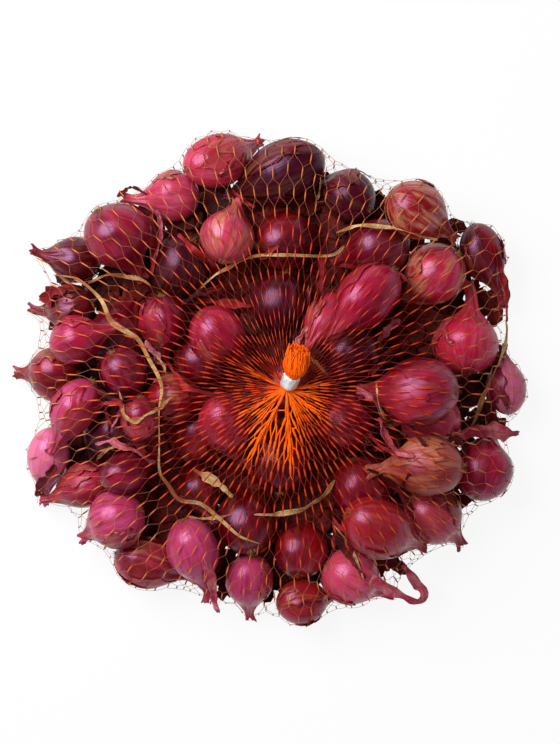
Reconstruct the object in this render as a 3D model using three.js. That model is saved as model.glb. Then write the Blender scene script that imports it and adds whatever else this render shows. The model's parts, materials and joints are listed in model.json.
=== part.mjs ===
// A net of red onion sets: small planting onions, held in a tube of orange netting that is
// gathered and clipped at both ends. It lies flat on a surface, with one clip on top in the
// middle of the pile and the other tucked into a hollow underneath.
//
// Millimetres, +Z up. The origin is the middle of the bag's outline, on the surface it rests
// on. The bulbs are laid out by hand as seen from above; settle() then lets them sink and
// shove each other apart until none overlap, dry leaves are laid over them, and the net is
// drawn tight round the lot.

import * as THREE from "three";

// ---- Driving dimensions -----------------------------------------------------------------

const NET_THICKNESS = 1.0; // from the inside of the net to its outside
const NET_CORD = 1.8; // width of the cords left between the net's openings
const NET_COLUMNS = 28; // openings round the bag
const TOP_ROWS = [6, 13, 27, 42, 58, 75]; // distances of the net's top rows
const EDGE_ROWS = [72, 42, 12, -18, -52]; // elevations of its rows round the edge
const FLOOR_ROWS = [0.78, 0.48]; // its rows under the pile, as shares of the last of these
const OPEN_ROWS = [5, 16]; // first and last row that is opened up into meshes
const EDGE_CIRCLE = 93; // the circle these fan out from, and its height
const EDGE_HEIGHT = 16;
const POCKET_RIM = 18; // where the net leaves the surface, round the pocket underneath
const NET_STANDOFF = 2.0; // from the bulbs to the middle of the net's wall
const SETTLE_GAP = 1.1; // air left between two bulbs
const SINK_PER_STEP = 0.3; // how fast the loose bulbs sink at first
const HOMING = 0.35; // how firmly they are held over their places at first
const FLOOR = NET_THICKNESS + 1.2; // lowest level a bulb may reach inside the net

const CLIP_AT = [7.8, -6.5, 49]; // where the net is gathered into the top clip
const NECK_RADIUS = 2.1; // middle of the gathered net's wall inside a clip
const CLIP_WALL = 1.9; // wire thickness, measured away from the gathered net
const TOP_CLIP_HEIGHT = 6.6; // along the gathered net
const BOTTOM_CLIP_HEIGHT = 4.6;
const NECK_LENGTH = 13.8; // gathered straight, a little more than the clip grips
const CLIP_GAP = 0.35;
const TOP_NECK_LEAN = new THREE.Vector3(0.38, 0.82, 0.55).normalize();
const TOP_TAIL_LENGTH = 15;
const TOP_TAIL_END = [0.2, 0.95, 0.22]; // way the tail points where it ends
const POCKET = { radius: 19.5, centre: [0, 0, -4.5] }; // hollow under the bag for the lower clip
const BOTTOM_GATHER_Z = 12.8;
const BOTTOM_NECK_LENGTH = 9.4; // the clip grips its lower part

const BULB_SIDES = 9;
const TOP = 52; // starting heights of the three layers
const MID = 36;
const LOW = 16;

// Outline of a bulb: [share of the body's length, share of half the girth], root to shoulder.
const BODY_OUTLINE = [
  [0.0, 0.24],
  [0.07, 0.55],
  [0.22, 0.86],
  [0.46, 1.0],
  [0.68, 0.84],
  [0.86, 0.47],
  [1.0, 0.24],
];
const NECK_TIP_SHARE = 0.13; // radius of the dry tip, as a share of half the girth

// Each bulb: where its middle lies seen from above (x, y), its layer, the way its neck points
// (degrees from +X), the body's length and girth, the neck's length, and the skin's colour.
const BULBS = [
  [-23, 105, MID, 25, 38, 25, 6, "rose"],
  [-44, 90, MID, 186, 28, 24, 9, "rose"],
  [6, 99, TOP, 203, 45, 29, 7, "purple"],
  [-19, 69, TOP, 75, 28, 26, 5, "rose"],
  [-71, 67, TOP, 305, 34, 32, 7, "magenta"],
  [-91, 57, MID, 172, 27, 22, 7, "crimson"],
  [-93, 38, MID, 190, 27, 22, 7, "crimson"],
  [-87, 20, TOP, 20, 28, 23, 6, "magenta"],
  [-101, 4, MID, 180, 28, 26, 7, "crimson"],
  [-90, -13, TOP, 240, 33, 22, 7, "magenta"],
  [-74, -27, LOW, 238, 32, 27, 6, "purple"],
  [-103, -37, MID, 264, 31, 20, 7, "rose"],
  [-87, -47, TOP, 202, 30, 21, 6, "rose"],
  [-66, -41, TOP, 28, 28, 20, 6, "magenta"],
  [-67, 5, TOP, 300, 26, 22, 6, "magenta"],
  [-58, -17, TOP, 268, 25, 19, 5, "rose"],
  [-50, 27, TOP, 272, 28, 24, 6, "magenta"],
  [-22, 22, TOP, 312, 30, 26, 6, "magenta"],
  [-42, -10, TOP, 2, 28, 23, 6, "crimson"],
  [-19, -20, TOP, 288, 32, 25, 6, "rose"],
  [-71, -66, MID, 205, 31, 27, 6, "magenta"],
  [-55, -84, LOW, 340, 34, 24, 6, "rose"],
  [-34, -80, TOP, 288, 34, 25, 8, "magenta"],
  [-8, -93, MID, 268, 28, 22, 6, "magenta"],
  [-30, -52, TOP, 300, 27, 22, 6, "crimson"],
  [-32, -20, LOW, 60, 32, 27, 6, "crimson"],
  [16, -79, TOP, 84, 29, 26, 6, "crimson"],
  [41, -93, MID, 335, 31, 28, 8, "rose"],
  [54, -67, TOP, 336, 40, 29, 7, "crimson"],
  [74, -39, TOP, 182, 37, 29, 8, "copper"],
  [103, -40, MID, 78, 32, 28, 7, "magenta"],
  [70, -4, TOP, 180, 41, 33, 9, "magenta"],
  [114, -1, LOW, 95, 28, 19, 5, "purple"],
  [96, 20, TOP, 86, 31, 31, 14, "rose"],
  [80, 51, TOP, 224, 33, 29, 15, "rose"],
  [46, 39, TOP, 226, 40, 26, 9, "magenta"],
  [27, 29, TOP, 240, 30, 18, 6, "rose"],
  [38, 89, MID, 150, 29, 25, 6, "purple"],
  [71, 79, TOP, 328, 35, 27, 7, "crimson"],
  [103, 60, MID, 292, 32, 21, 10, "crimson"],
  [10, 67, LOW, 8, 34, 28, 6, "crimson"],
  [9, 35, LOW, 262, 34, 28, 6, "purple"],
  [6, -35, LOW, 92, 34, 28, 6, "crimson"],
  [35, -19, LOW, 152, 33, 28, 6, "magenta"],
  [-14, -66, LOW, 100, 35, 29, 6, "crimson"],
  [38, 14, LOW, 200, 34, 28, 6, "purple"],
  [-41, 55, LOW, 240, 35, 30, 6, "purple"],
  [18, -103, LOW, 8, 27, 22, 6, "crimson"],
  [80, -64, LOW, 318, 32, 27, 6, "crimson"],
  [52, 64, LOW, 200, 34, 29, 6, "magenta"],
  [77, -16, LOW, 120, 34, 29, 6, "rose"],
  [-30, 14, LOW, 75, 35, 29, 6, "magenta"],
  [46, -52, LOW, 285, 34, 29, 6, "rose"],
  [-71, 24, LOW, 60, 34, 28, 6, "magenta"],
  [9, -2, TOP, 240, 28, 24, 6, "crimson"],
];

const SKINS = {
  magenta: { color: 0x8c1440, roughness: 0.34 },
  rose: { color: 0xa83a62, roughness: 0.38 },
  purple: { color: 0x521236, roughness: 0.42 },
  crimson: { color: 0x7a0f1e, roughness: 0.46 },
  copper: { color: 0x9c5040, roughness: 0.55 },
};

// Dry leaves that lie on the bulbs, just under the net: [x, y] waypoints seen from above.
const LEAF_WIDTH = 3.0;
const LEAF_STEPS = 26;
const LEAVES = {
  dry_leaf_left: [
    [-97, 49],
    [-87, 48],
    [-78, 40],
    [-73, 31],
    [-61, 23],
    [-56, 14],
    [-49, 5],
    [-49, -8],
    [-50, -20],
    [-51, -36],
    [-50, -46],
    [-41, -57],
    [-30, -61],
    [-19, -67],
    [-5, -75],
  ],
  dry_leaf_top: [
    [-36, 38],
    [-28, 45],
    [-19, 51],
    [-9, 56],
    [2, 60],
    [12, 60],
    [24, 59],
    [35, 61],
    [44, 67],
    [54, 71],
  ],
};

// ---- Bulbs ------------------------------------------------------------------------------

/** Outline of one bulb as [distance from the root, radius], from axis to axis. */
function bulbOutline({ length, girth, neck }) {
  const body = BODY_OUTLINE.map(([s, r]) => [s * length, (r * girth) / 2]);
  const tip = [length + neck, (NECK_TIP_SHARE * girth) / 2];
  return [[0, 0], ...body, tip, [length + neck, 0]];
}

/** Distance from the point (s, 0) on the axis to the outline. */
function clearanceAt(s, outline) {
  let nearest = Infinity;
  for (let i = 1; i < outline.length; i += 1) {
    const [s0, r0] = outline[i - 1];
    const [s1, r1] = outline[i];
    const lengthSquared = (s1 - s0) ** 2 + (r1 - r0) ** 2;
    const along = ((s - s0) * (s1 - s0) - r0 * (r1 - r0)) / lengthSquared;
    const t = THREE.MathUtils.clamp(along, 0, 1);
    const distance = Math.hypot(s0 + t * (s1 - s0) - s, r0 + t * (r1 - r0));
    nearest = Math.min(nearest, distance);
  }
  return nearest;
}

/** A bulb's balls: spheres along its axis that fill it, as offsets from its middle. */
function ballsOf(bulb) {
  const outline = bulbOutline(bulb);
  const total = bulb.length + bulb.neck;
  const balls = [];
  let s = 0.17 * bulb.length;
  while (s < total - 1) {
    const radius = clearanceAt(s, outline);
    balls.push({ offset: s - bulb.length / 2, radius });
    s += Math.max(1.3, 0.27 * radius);
  }
  const tipRadius = (NECK_TIP_SHARE * bulb.girth) / 2;
  balls.push({ offset: total - tipRadius / 2 - bulb.length / 2, radius: tipRadius });
  return balls;
}

/** Reads one row of the layout into a body that can be settled. */
function makeBulb([x, y, z, heading, length, girth, neck, skin], index) {
  const angle = THREE.MathUtils.degToRad(heading);
  const bulb = {
    name: `onion_${String(index + 1).padStart(2, "0")}`,
    length,
    girth,
    neck,
    skin,
    home: new THREE.Vector2(x, y),
    heading: new THREE.Vector2(Math.cos(angle), Math.sin(angle)),
    centre: new THREE.Vector3(x, y, z),
    axis: new THREE.Vector3(Math.cos(angle), Math.sin(angle), 0),
  };
  bulb.balls = ballsOf(bulb);
  bulb.turning = (length + neck) ** 2 / 12 + girth ** 2 / 16;
  bulb.reach = Math.max(...bulb.balls.map((b) => Math.abs(b.offset) + b.radius));
  return bulb;
}

/** Pushes a bulb by `depth` along `normal` at `offset` from its middle. */
function push(bulb, offset, normal, depth) {
  const give = depth / (1 + (offset * offset) / bulb.turning);
  bulb.centre.addScaledVector(normal, give);
  bulb.axis.addScaledVector(normal, (give * offset) / bulb.turning).normalize();
}

const ballA = new THREE.Vector3();
const ballB = new THREE.Vector3();
const apart = new THREE.Vector3();
const UP = new THREE.Vector3(0, 0, 1);

/** Moves two bulbs out of each other. Returns how deep they were. */
function separate(a, b, gap) {
  if (a.centre.distanceTo(b.centre) > a.reach + b.reach + gap) return 0;
  let deepest = 0;
  for (const p of a.balls) {
    for (const q of b.balls) {
      ballA.copy(a.centre).addScaledVector(a.axis, p.offset);
      ballB.copy(b.centre).addScaledVector(b.axis, q.offset);
      apart.subVectors(ballA, ballB);
      const depth = p.radius + q.radius + gap - apart.length();
      if (depth <= 0) continue;
      apart.normalize();
      push(a, p.offset, apart, depth / 2);
      push(b, q.offset, apart, -depth / 2);
      deepest = Math.max(deepest, depth);
    }
  }
  return deepest;
}

/** Keeps a bulb above the floor and out of the pocket for the lower clip. */
function keepInside(bulb) {
  const pocket = new THREE.Vector3(...POCKET.centre);
  for (const ball of bulb.balls) {
    ballA.copy(bulb.centre).addScaledVector(bulb.axis, ball.offset);
    const sunk = FLOOR + ball.radius - ballA.z;
    if (sunk > 0) push(bulb, ball.offset, UP, sunk);
    apart.subVectors(ballA, pocket);
    const depth = POCKET.radius + ball.radius - apart.length();
    if (depth > 0) push(bulb, ball.offset, apart.normalize(), depth);
  }
}

/** Draws a bulb back towards its place and heading in the layout. */
function drawHome(bulb, strength) {
  bulb.centre.x += (bulb.home.x - bulb.centre.x) * strength;
  bulb.centre.y += (bulb.home.y - bulb.centre.y) * strength;
  const level = Math.hypot(bulb.axis.x, bulb.axis.y);
  bulb.axis.x += (bulb.heading.x * level - bulb.axis.x) * strength;
  bulb.axis.y += (bulb.heading.y * level - bulb.axis.y) * strength;
  bulb.axis.z = THREE.MathUtils.clamp(bulb.axis.z, -0.5, 0.5);
  bulb.axis.normalize();
}

/** Lets the bulbs sink and shove each other until the pile is at rest and nothing overlaps. */
function settle(bulbs) {
  const sinkingSteps = 420;
  const restingSteps = 400;
  for (let step = 0; step < sinkingSteps + restingSteps; step += 1) {
    const share = Math.max(0, 1 - step / sinkingSteps);
    let deepest = 0;
    for (const bulb of bulbs) {
      bulb.centre.z -= SINK_PER_STEP * share;
      drawHome(bulb, HOMING * share);
      keepInside(bulb);
    }
    bulbs.forEach((a, i) => {
      for (const b of bulbs.slice(i + 1)) {
        deepest = Math.max(deepest, separate(a, b, SETTLE_GAP));
      }
    });
    if (share === 0 && deepest < 0.02) break;
  }
}

/** One bulb as a closed solid of revolution, root at one end and dry neck at the other. */
function bulbMesh(bulb) {
  const profile = bulbOutline(bulb).map(([s, r]) => new THREE.Vector2(r, s - bulb.length / 2));
  const geometry = new THREE.LatheGeometry(profile, BULB_SIDES);
  const mesh = new THREE.Mesh(geometry, new THREE.MeshStandardMaterial(SKINS[bulb.skin]));
  mesh.name = bulb.name;
  mesh.position.copy(bulb.centre);
  mesh.quaternion.setFromUnitVectors(new THREE.Vector3(0, 1, 0), bulb.axis);
  return mesh;
}

/** Every ball of every bulb in the part's frame: what leaves and net rest on. */
function pileOf(bulbs) {
  return bulbs.flatMap((bulb) =>
    bulb.balls.map((ball) => ({
      centre: bulb.centre.clone().addScaledVector(bulb.axis, ball.offset),
      radius: ball.radius,
    })),
  );
}

/** Height of the pile's upper surface, grown by `grow`, over the point (x, y). */
function pileTop(pile, x, y, grow) {
  let top = FLOOR;
  for (const { centre, radius } of pile) {
    const reach = radius + grow;
    const across = Math.hypot(x - centre.x, y - centre.y);
    if (across < reach) top = Math.max(top, centre.z + Math.sqrt(reach ** 2 - across ** 2));
  }
  return top;
}

// ---- Dry leaves -------------------------------------------------------------------------

/** The line a leaf follows over the pile: laid on the bulbs, straight across the gaps. */
function leafLine(waypoints, pile) {
  const plan = new THREE.CatmullRomCurve3(waypoints.map(([x, y]) => new THREE.Vector3(x, y, 0)));
  const points = plan.getSpacedPoints(2 * LEAF_STEPS);
  const rest = points.map((p) => pileTop(pile, p.x, p.y, LEAF_WIDTH / 2 + 0.9));
  rest[0] = Math.max(...rest.slice(0, 8));
  rest[rest.length - 1] = Math.max(...rest.slice(-8));
  points.forEach((p, i) => {
    p.z = Math.max(rest[i], rest[0], rest.at(-1));
  });
  for (let pass = 0; pass < 60; pass += 1) {
    for (let i = 1; i < points.length - 1; i += 1) {
      points[i].z = Math.max(rest[i], (points[i - 1].z + points[i + 1].z) / 2);
    }
  }
  return points;
}

/** A leaf, dried to a thin stalk, swept along its line. */
function leafMesh(name, line) {
  const curve = new THREE.CatmullRomCurve3(line);
  const section = new THREE.Shape();
  section.absellipse(0, 0, LEAF_WIDTH / 2, LEAF_WIDTH / 2, 0, 2 * Math.PI);
  const geometry = new THREE.ExtrudeGeometry(section, {
    curveSegments: 2,
    steps: LEAF_STEPS,
    extrudePath: curve,
    bevelEnabled: false,
  });
  const paper = new THREE.MeshStandardMaterial({ color: 0xb98a4e, roughness: 0.8 });
  const mesh = new THREE.Mesh(geometry, paper);
  mesh.name = name;
  return mesh;
}

// ---- Net --------------------------------------------------------------------------------

/** Points of a ring of the given radius round `centre`, square to `axis`. */
function ring(centre, axis, radius) {
  const across = new THREE.Vector3(1, 0, 0).addScaledVector(axis, -axis.x).normalize();
  const up = new THREE.Vector3().crossVectors(axis, across);
  return Array.from({ length: NET_COLUMNS }, (_, i) => {
    const angle = (2 * Math.PI * i) / NET_COLUMNS;
    return centre
      .clone()
      .addScaledVector(across, radius * Math.cos(angle))
      .addScaledVector(up, radius * Math.sin(angle));
  });
}

/**
 * The lines the net's grid points may slide along: straight up over the middle of the pile,
 * fanned outwards round its edge. Each point sits `reach` along its line.
 */
function netLines(topGather) {
  const lineAt = (angle, inset, centre, elevation) => {
    const outward = new THREE.Vector3(Math.cos(angle), Math.sin(angle), 0);
    return {
      foot: centre.clone().addScaledVector(outward, inset),
      way: outward.multiplyScalar(Math.cos(elevation)).setZ(Math.sin(elevation)),
      reach: 0,
      least: 0,
    };
  };
  const rowAt = (inset, elevation) => {
    const share = 1 - inset / EDGE_CIRCLE;
    const centre = new THREE.Vector3(topGather.x * share, topGather.y * share, EDGE_HEIGHT);
    return Array.from({ length: NET_COLUMNS }, (_, column) =>
      lineAt((2 * Math.PI * column) / NET_COLUMNS, inset, centre, elevation),
    );
  };
  return [
    ...TOP_ROWS.map((inset) => rowAt(inset, Math.PI / 2)),
    ...EDGE_ROWS.map((degrees) => rowAt(EDGE_CIRCLE, THREE.MathUtils.degToRad(degrees))),
  ];
}

/** How far along a line the net must stay to clear every ball. */
function reachOver({ foot, way }, pile) {
  const toBall = new THREE.Vector3();
  let reach = 0;
  for (const { centre, radius } of pile) {
    toBall.subVectors(centre, foot);
    const along = toBall.dot(way);
    const missSquared = toBall.lengthSq() - along * along;
    const clear = (radius + NET_STANDOFF) ** 2 - missSquared;
    if (clear > 0) reach = Math.max(reach, along + Math.sqrt(clear));
  }
  return reach;
}

/** The net's point on a line; below the surface it slides out along the surface instead. */
function pointOn({ foot, way, reach }) {
  const point = foot.clone().addScaledVector(way, reach);
  return point.setZ(Math.max(point.z, NET_THICKNESS / 2));
}

// Where the cords round an opening are tried against the pile: shares of the four corners.
const CORD_TRIALS = [0, 0.2, 0.4, 0.6, 0.8].flatMap((t) => [
  [1 - t, t, 0, 0],
  [1 - t, 0, t, 0],
]);

/** Lets out the corners of one opening until no ball cuts its cords. Returns the depth found. */
function easeCords(corners, pile) {
  const tried = new THREE.Vector3();
  const away = new THREE.Vector3();
  let deepest = 0;
  for (const shares of CORD_TRIALS) {
    tried.set(0, 0, 0);
    corners.forEach((line, i) => tried.addScaledVector(pointOn(line), shares[i]));
    for (const { centre, radius } of pile) {
      const depth = radius + NET_STANDOFF - tried.distanceTo(centre);
      if (depth < 0.01) continue;
      away.subVectors(tried, centre).normalize();
      const effects = corners.map(({ way }, i) => shares[i] * Math.max(0, away.dot(way)));
      const total = effects.reduce((sum, effect) => sum + effect * effect, 0);
      if (total < 0.02) continue;
      deepest = Math.max(deepest, depth);
      corners.forEach((line, i) => {
        const least = line.reach + depth * Math.min(1.2, effects[i] / total);
        line.least = Math.max(line.least, least);
      });
    }
  }
  return deepest;
}

/** Draws the net tight over the pile, between the top gather and the surface below. */
function tighten(lines, topRing, pile) {
  lines.flat().forEach((line) => {
    line.least = reachOver(line, pile);
  });
  lines.at(-1).forEach((line) => {
    line.least = Math.max(line.least, (EDGE_HEIGHT - NET_THICKNESS / 2) / -line.way.z);
  });
  lines.flat().forEach((line) => {
    line.reach = line.least + 30;
  });
  const mean = new THREE.Vector3();
  const neighbours = (r, c) => [
    pointOn(lines[r][(c + 1) % NET_COLUMNS]),
    pointOn(lines[r][(c + NET_COLUMNS - 1) % NET_COLUMNS]),
    r === 0 ? topRing[c] : pointOn(lines[r - 1][c]),
    r === lines.length - 1 ? floorPoint(lines[r][c]) : pointOn(lines[r + 1][c]),
  ];
  const floorPoint = (line) => pointOn(line).multiplyScalar(0.9).setZ(NET_THICKNESS / 2);
  for (let round = 0; round < 24; round += 1) {
    for (let pass = 0; pass < (round === 0 ? 150 : 12); pass += 1) {
      lines.forEach((row, r) => {
        row.forEach((line, c) => {
          mean.set(0, 0, 0);
          neighbours(r, c).forEach((point) => mean.addScaledVector(point, 0.25));
          line.reach = Math.max(line.least, mean.sub(line.foot).dot(line.way));
        });
      });
    }
    let deepest = 0;
    for (let r = 0; r < lines.length - 1; r += 1) {
      for (let c = 0; c < NET_COLUMNS; c += 1) {
        const next = (c + 1) % NET_COLUMNS;
        const corners = [lines[r][c], lines[r][next], lines[r + 1][c], lines[r + 1][next]];
        const near = nearby(corners, pile);
        deepest = Math.max(deepest, easeCords(corners, near));
      }
    }
    if (deepest < 0.02) break;
  }
  lines.flat().forEach((line) => {
    line.reach = Math.max(line.reach, line.least);
  });
  return lines.map((row) => row.map(pointOn));
}

/** The balls that the cords round one opening could touch. */
function nearby(corners, pile) {
  const middle = new THREE.Vector3();
  corners.forEach((line) => middle.addScaledVector(pointOn(line), 0.25));
  const span = Math.max(...corners.map((line) => pointOn(line).distanceTo(middle)));
  const reach = span + NET_STANDOFF;
  return pile.filter(({ centre, radius }) => centre.distanceTo(middle) < reach + radius);
}

/** The net's rows under the pile: flat on the surface, then up the sides of the pocket. */
function lowerRows(lastRow, bottomRing) {
  const rows = [];
  const level = (point, radius) => {
    const angle = Math.atan2(point.y, point.x);
    const outward = new THREE.Vector3(Math.cos(angle), Math.sin(angle), 0);
    return outward.multiplyScalar(radius).setZ(NET_THICKNESS / 2);
  };
  for (const share of FLOOR_ROWS) {
    rows.push(lastRow.map((point) => level(point, share * Math.hypot(point.x, point.y))));
  }
  const rim = lastRow.map((_, c) => {
    const angle = (2 * Math.PI * c) / NET_COLUMNS;
    return new THREE.Vector3(Math.cos(angle), Math.sin(angle), 0)
      .multiplyScalar(POCKET_RIM)
      .setZ(NET_THICKNESS / 2);
  });
  for (const share of [0, 0.3, 0.6, 0.85]) {
    rows.push(rim.map((point, c) => point.clone().lerp(bottomRing[c], share)));
  }
  return rows;
}

/** Outward direction of the net's wall at each grid point. */
function wallNormals(grid) {
  const along = new THREE.Vector3();
  const round = new THREE.Vector3();
  return grid.map((row, r) =>
    row.map((point, c) => {
      const before = grid[Math.max(r - 1, 0)][c];
      const after = grid[Math.min(r + 1, grid.length - 1)][c];
      along.subVectors(after, before);
      round.subVectors(row[(c + 1) % NET_COLUMNS], row[(c + NET_COLUMNS - 1) % NET_COLUMNS]);
      return new THREE.Vector3().crossVectors(along, round).normalize();
    }),
  );
}

/** The two faces of the net's wall: the grid moved out and in by half its thickness. */
function wallFaces(grid) {
  const normals = wallNormals(grid);
  const half = NET_THICKNESS / 2;
  return [1, -1].map((sign) =>
    grid.map((row, r) =>
      row.map((point, c) => {
        const moved = point.clone().addScaledVector(normals[r][c], sign * half);
        const onSurface = point.z < half + 0.01;
        if (onSurface) moved.z = half - sign * half;
        return moved.setZ(Math.max(0, moved.z));
      }),
    ),
  );
}

/** The net as one closed wall pierced by four-sided openings, open at both tails' ends. */
function netGeometry(grid) {
  const [outerFace, innerFace] = wallFaces(grid);
  const points = [];
  const addQuad = (a, b, c, d) => points.push(a, b, c, a, c, d);
  const cell = (face, r, c) => {
    const next = (c + 1) % NET_COLUMNS;
    return [face[r][c], face[r + 1][c], face[r + 1][next], face[r][next]];
  };
  const addOpening = (outer, inner) => {
    const outerRim = openingCorners(outer);
    const innerRim = openingCorners(inner);
    for (let i = 0; i < 4; i += 1) {
      const next = (i + 1) % 4;
      addQuad(outer[i], outer[next], outerRim[next], outerRim[i]);
      addQuad(inner[next], inner[i], innerRim[i], innerRim[next]);
      addQuad(outerRim[i], outerRim[next], innerRim[next], innerRim[i]);
    }
  };
  const last = grid.length - 2;
  for (let r = 0; r <= last; r += 1) {
    for (let c = 0; c < NET_COLUMNS; c += 1) {
      const outer = cell(outerFace, r, c);
      const inner = cell(innerFace, r, c);
      const open = r >= OPEN_ROWS[0] && r <= OPEN_ROWS[1];
      if (open) addOpening(outer, inner);
      if (!open) addQuad(...outer);
      if (!open) addQuad(...inner.toReversed());
      if (r === 0) addQuad(outer[0], outer[3], inner[3], inner[0]);
      if (r === last) addQuad(outer[2], outer[1], inner[1], inner[2]);
    }
  }
  const geometry = new THREE.BufferGeometry().setFromPoints(points);
  geometry.computeVertexNormals();
  return geometry;
}

/** Corners of the opening in a cell: half a cord's width in from each of its sides. */
function openingCorners([a, b, c, d]) {
  const at = (along, round) => {
    const left = a.clone().lerp(b, along);
    const right = d.clone().lerp(c, along);
    return left.lerp(right, round);
  };
  const alongShare = NET_CORD / (a.distanceTo(b) + d.distanceTo(c));
  const upperShare = NET_CORD / 2 / a.distanceTo(d);
  const lowerShare = NET_CORD / 2 / b.distanceTo(c);
  return [
    at(alongShare, upperShare),
    at(1 - alongShare, lowerShare),
    at(1 - alongShare, 1 - lowerShare),
    at(alongShare, 1 - upperShare),
  ];
}

/** The netting round the whole pile, with its two gathered tails. */
function netMesh(grid) {
  const netting = new THREE.MeshStandardMaterial({ color: 0xe8641c, roughness: 0.45 });
  const mesh = new THREE.Mesh(netGeometry(grid), netting);
  mesh.name = "net";
  return mesh;
}

// ---- Clips ------------------------------------------------------------------------------

/** A crimped aluminium clip: a closed band round the gathered net, `height` along `axis`. */
function clipMesh(name, centre, axis, height) {
  const inner = NECK_RADIUS + NET_THICKNESS / 2 + CLIP_GAP;
  const outer = inner + CLIP_WALL;
  const half = height / 2;
  const chamfer = 0.5;
  const profile = [
    [inner, -half],
    [outer - chamfer, -half],
    [outer, chamfer - half],
    [outer, half - chamfer],
    [outer - chamfer, half],
    [inner, half],
    [inner, -half],
  ].map(([r, h]) => new THREE.Vector2(r, h));
  const metal = new THREE.MeshStandardMaterial({ color: 0xc9cdd0, metalness: 1, roughness: 0.35 });
  const mesh = new THREE.Mesh(new THREE.LatheGeometry(profile, 16), metal);
  mesh.name = name;
  mesh.position.copy(centre);
  mesh.quaternion.setFromUnitVectors(new THREE.Vector3(0, 1, 0), axis);
  return mesh;
}

// ---- Assembly ---------------------------------------------------------------------------

const bulbs = BULBS.map(makeBulb);
settle(bulbs);
const pile = pileOf(bulbs);

const leafLines = Object.entries(LEAVES).map(([name, way]) => [name, leafLine(way, pile)]);
const leafBalls = leafLines.flatMap(([, line]) =>
  line.map((centre) => ({ centre, radius: LEAF_WIDTH / 2 })),
);
const load = [...pile, ...leafBalls];

const topGather = new THREE.Vector3(...CLIP_AT);
const bottomGather = new THREE.Vector3(0, 0, BOTTOM_GATHER_Z);
const topNeckEnd = topGather.clone().addScaledVector(TOP_NECK_LEAN, NECK_LENGTH);
const tailEndWay = new THREE.Vector3(...TOP_TAIL_END).normalize();
const tailMiddleWay = tailEndWay.clone().add(TOP_NECK_LEAN).normalize();
const topTailMiddle = topNeckEnd.clone().addScaledVector(tailMiddleWay, TOP_TAIL_LENGTH / 2);
const topTailEnd = topTailMiddle.clone().addScaledVector(tailEndWay, TOP_TAIL_LENGTH / 2);
const bottomNeckEnd = bottomGather.clone().addScaledVector(UP, -BOTTOM_NECK_LENGTH);
const bottomTailEnd = new THREE.Vector3(0, 0, 1.2);
const topRing = ring(topGather, TOP_NECK_LEAN, NECK_RADIUS);
const bottomRing = ring(bottomGather, UP, NECK_RADIUS);
const overRows = tighten(netLines(topGather), topRing, load);

const grid = [
  ring(topTailEnd, tailEndWay, 4.6),
  ring(topTailMiddle, tailMiddleWay, 4.2),
  ring(topNeckEnd, TOP_NECK_LEAN, NECK_RADIUS),
  topRing,
  ...overRows,
  ...lowerRows(overRows.at(-1), bottomRing),
  bottomRing,
  ring(bottomNeckEnd, UP, NECK_RADIUS),
  ring(bottomTailEnd, UP, 3.6),
];
const topClipAt = topNeckEnd.clone().addScaledVector(TOP_NECK_LEAN, -TOP_CLIP_HEIGHT / 2 - 0.8);
const bottomClipAt = bottomNeckEnd.clone().addScaledVector(UP, BOTTOM_CLIP_HEIGHT / 2 + 0.8);

const onionNet = new THREE.Group();
onionNet.add(...bulbs.map(bulbMesh));
onionNet.add(...leafLines.map(([name, line]) => leafMesh(name, line)));
onionNet.add(netMesh(grid));
onionNet.add(clipMesh("top_clip", topClipAt, TOP_NECK_LEAN, TOP_CLIP_HEIGHT));
onionNet.add(clipMesh("bottom_clip", bottomClipAt, UP, BOTTOM_CLIP_HEIGHT));

const outline = new THREE.Box3().setFromObject(onionNet, true);
const footprintMiddle = outline.getCenter(new THREE.Vector3()).setZ(outline.min.z);
onionNet.children.forEach((mesh) => mesh.position.sub(footprintMiddle));

export default onionNet;
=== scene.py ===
import json
import logging
import math
from dataclasses import dataclass, field
from enum import Enum

import bpy
import numpy as np
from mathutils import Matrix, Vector
from mathutils.bvhtree import BVHTree


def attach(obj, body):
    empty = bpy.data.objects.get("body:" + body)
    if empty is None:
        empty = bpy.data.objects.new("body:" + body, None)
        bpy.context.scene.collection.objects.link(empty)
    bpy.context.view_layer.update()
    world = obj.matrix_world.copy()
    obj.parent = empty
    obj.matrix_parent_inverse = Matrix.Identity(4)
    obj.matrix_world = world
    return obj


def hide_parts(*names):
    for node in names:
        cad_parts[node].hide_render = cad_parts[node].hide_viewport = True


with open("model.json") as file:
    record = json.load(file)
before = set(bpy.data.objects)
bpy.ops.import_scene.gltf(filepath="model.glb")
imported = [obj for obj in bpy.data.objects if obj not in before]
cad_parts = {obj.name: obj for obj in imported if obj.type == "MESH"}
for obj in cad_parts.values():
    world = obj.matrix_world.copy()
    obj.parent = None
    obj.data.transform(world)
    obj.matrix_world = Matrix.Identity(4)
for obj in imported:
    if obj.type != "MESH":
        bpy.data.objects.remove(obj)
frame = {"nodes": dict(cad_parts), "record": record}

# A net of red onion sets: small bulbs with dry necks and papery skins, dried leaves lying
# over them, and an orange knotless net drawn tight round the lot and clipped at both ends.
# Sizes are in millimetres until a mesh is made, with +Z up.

LOG = logging.getLogger("onion_net")
MM = 0.001
UP = np.array([0.0, 0.0, 1.0])
Array = np.ndarray
Colour = tuple[float, float, float, float]


# ---- Small tools ------------------------------------------------------------------------


def srgb(red: int, green: int, blue: int) -> Colour:
    """Turns a screen colour into the linear colour that a shader takes.

    Args:
        red: Red, 0 to 255.
        green: Green, 0 to 255.
        blue: Blue, 0 to 255.

    Returns:
        The colour with full alpha.
    """
    linear = []
    for channel in (red, green, blue):
        c = channel / 255
        linear.append(c / 12.92 if c <= 0.04045 else ((c + 0.055) / 1.055) ** 2.4)
    return (*linear, 1.0)


def unit(vectors: Array) -> Array:
    """Scales vectors along the last axis to length 1."""
    length = np.linalg.norm(vectors, axis=-1, keepdims=True)
    return vectors / np.maximum(length, 1e-9)


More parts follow.
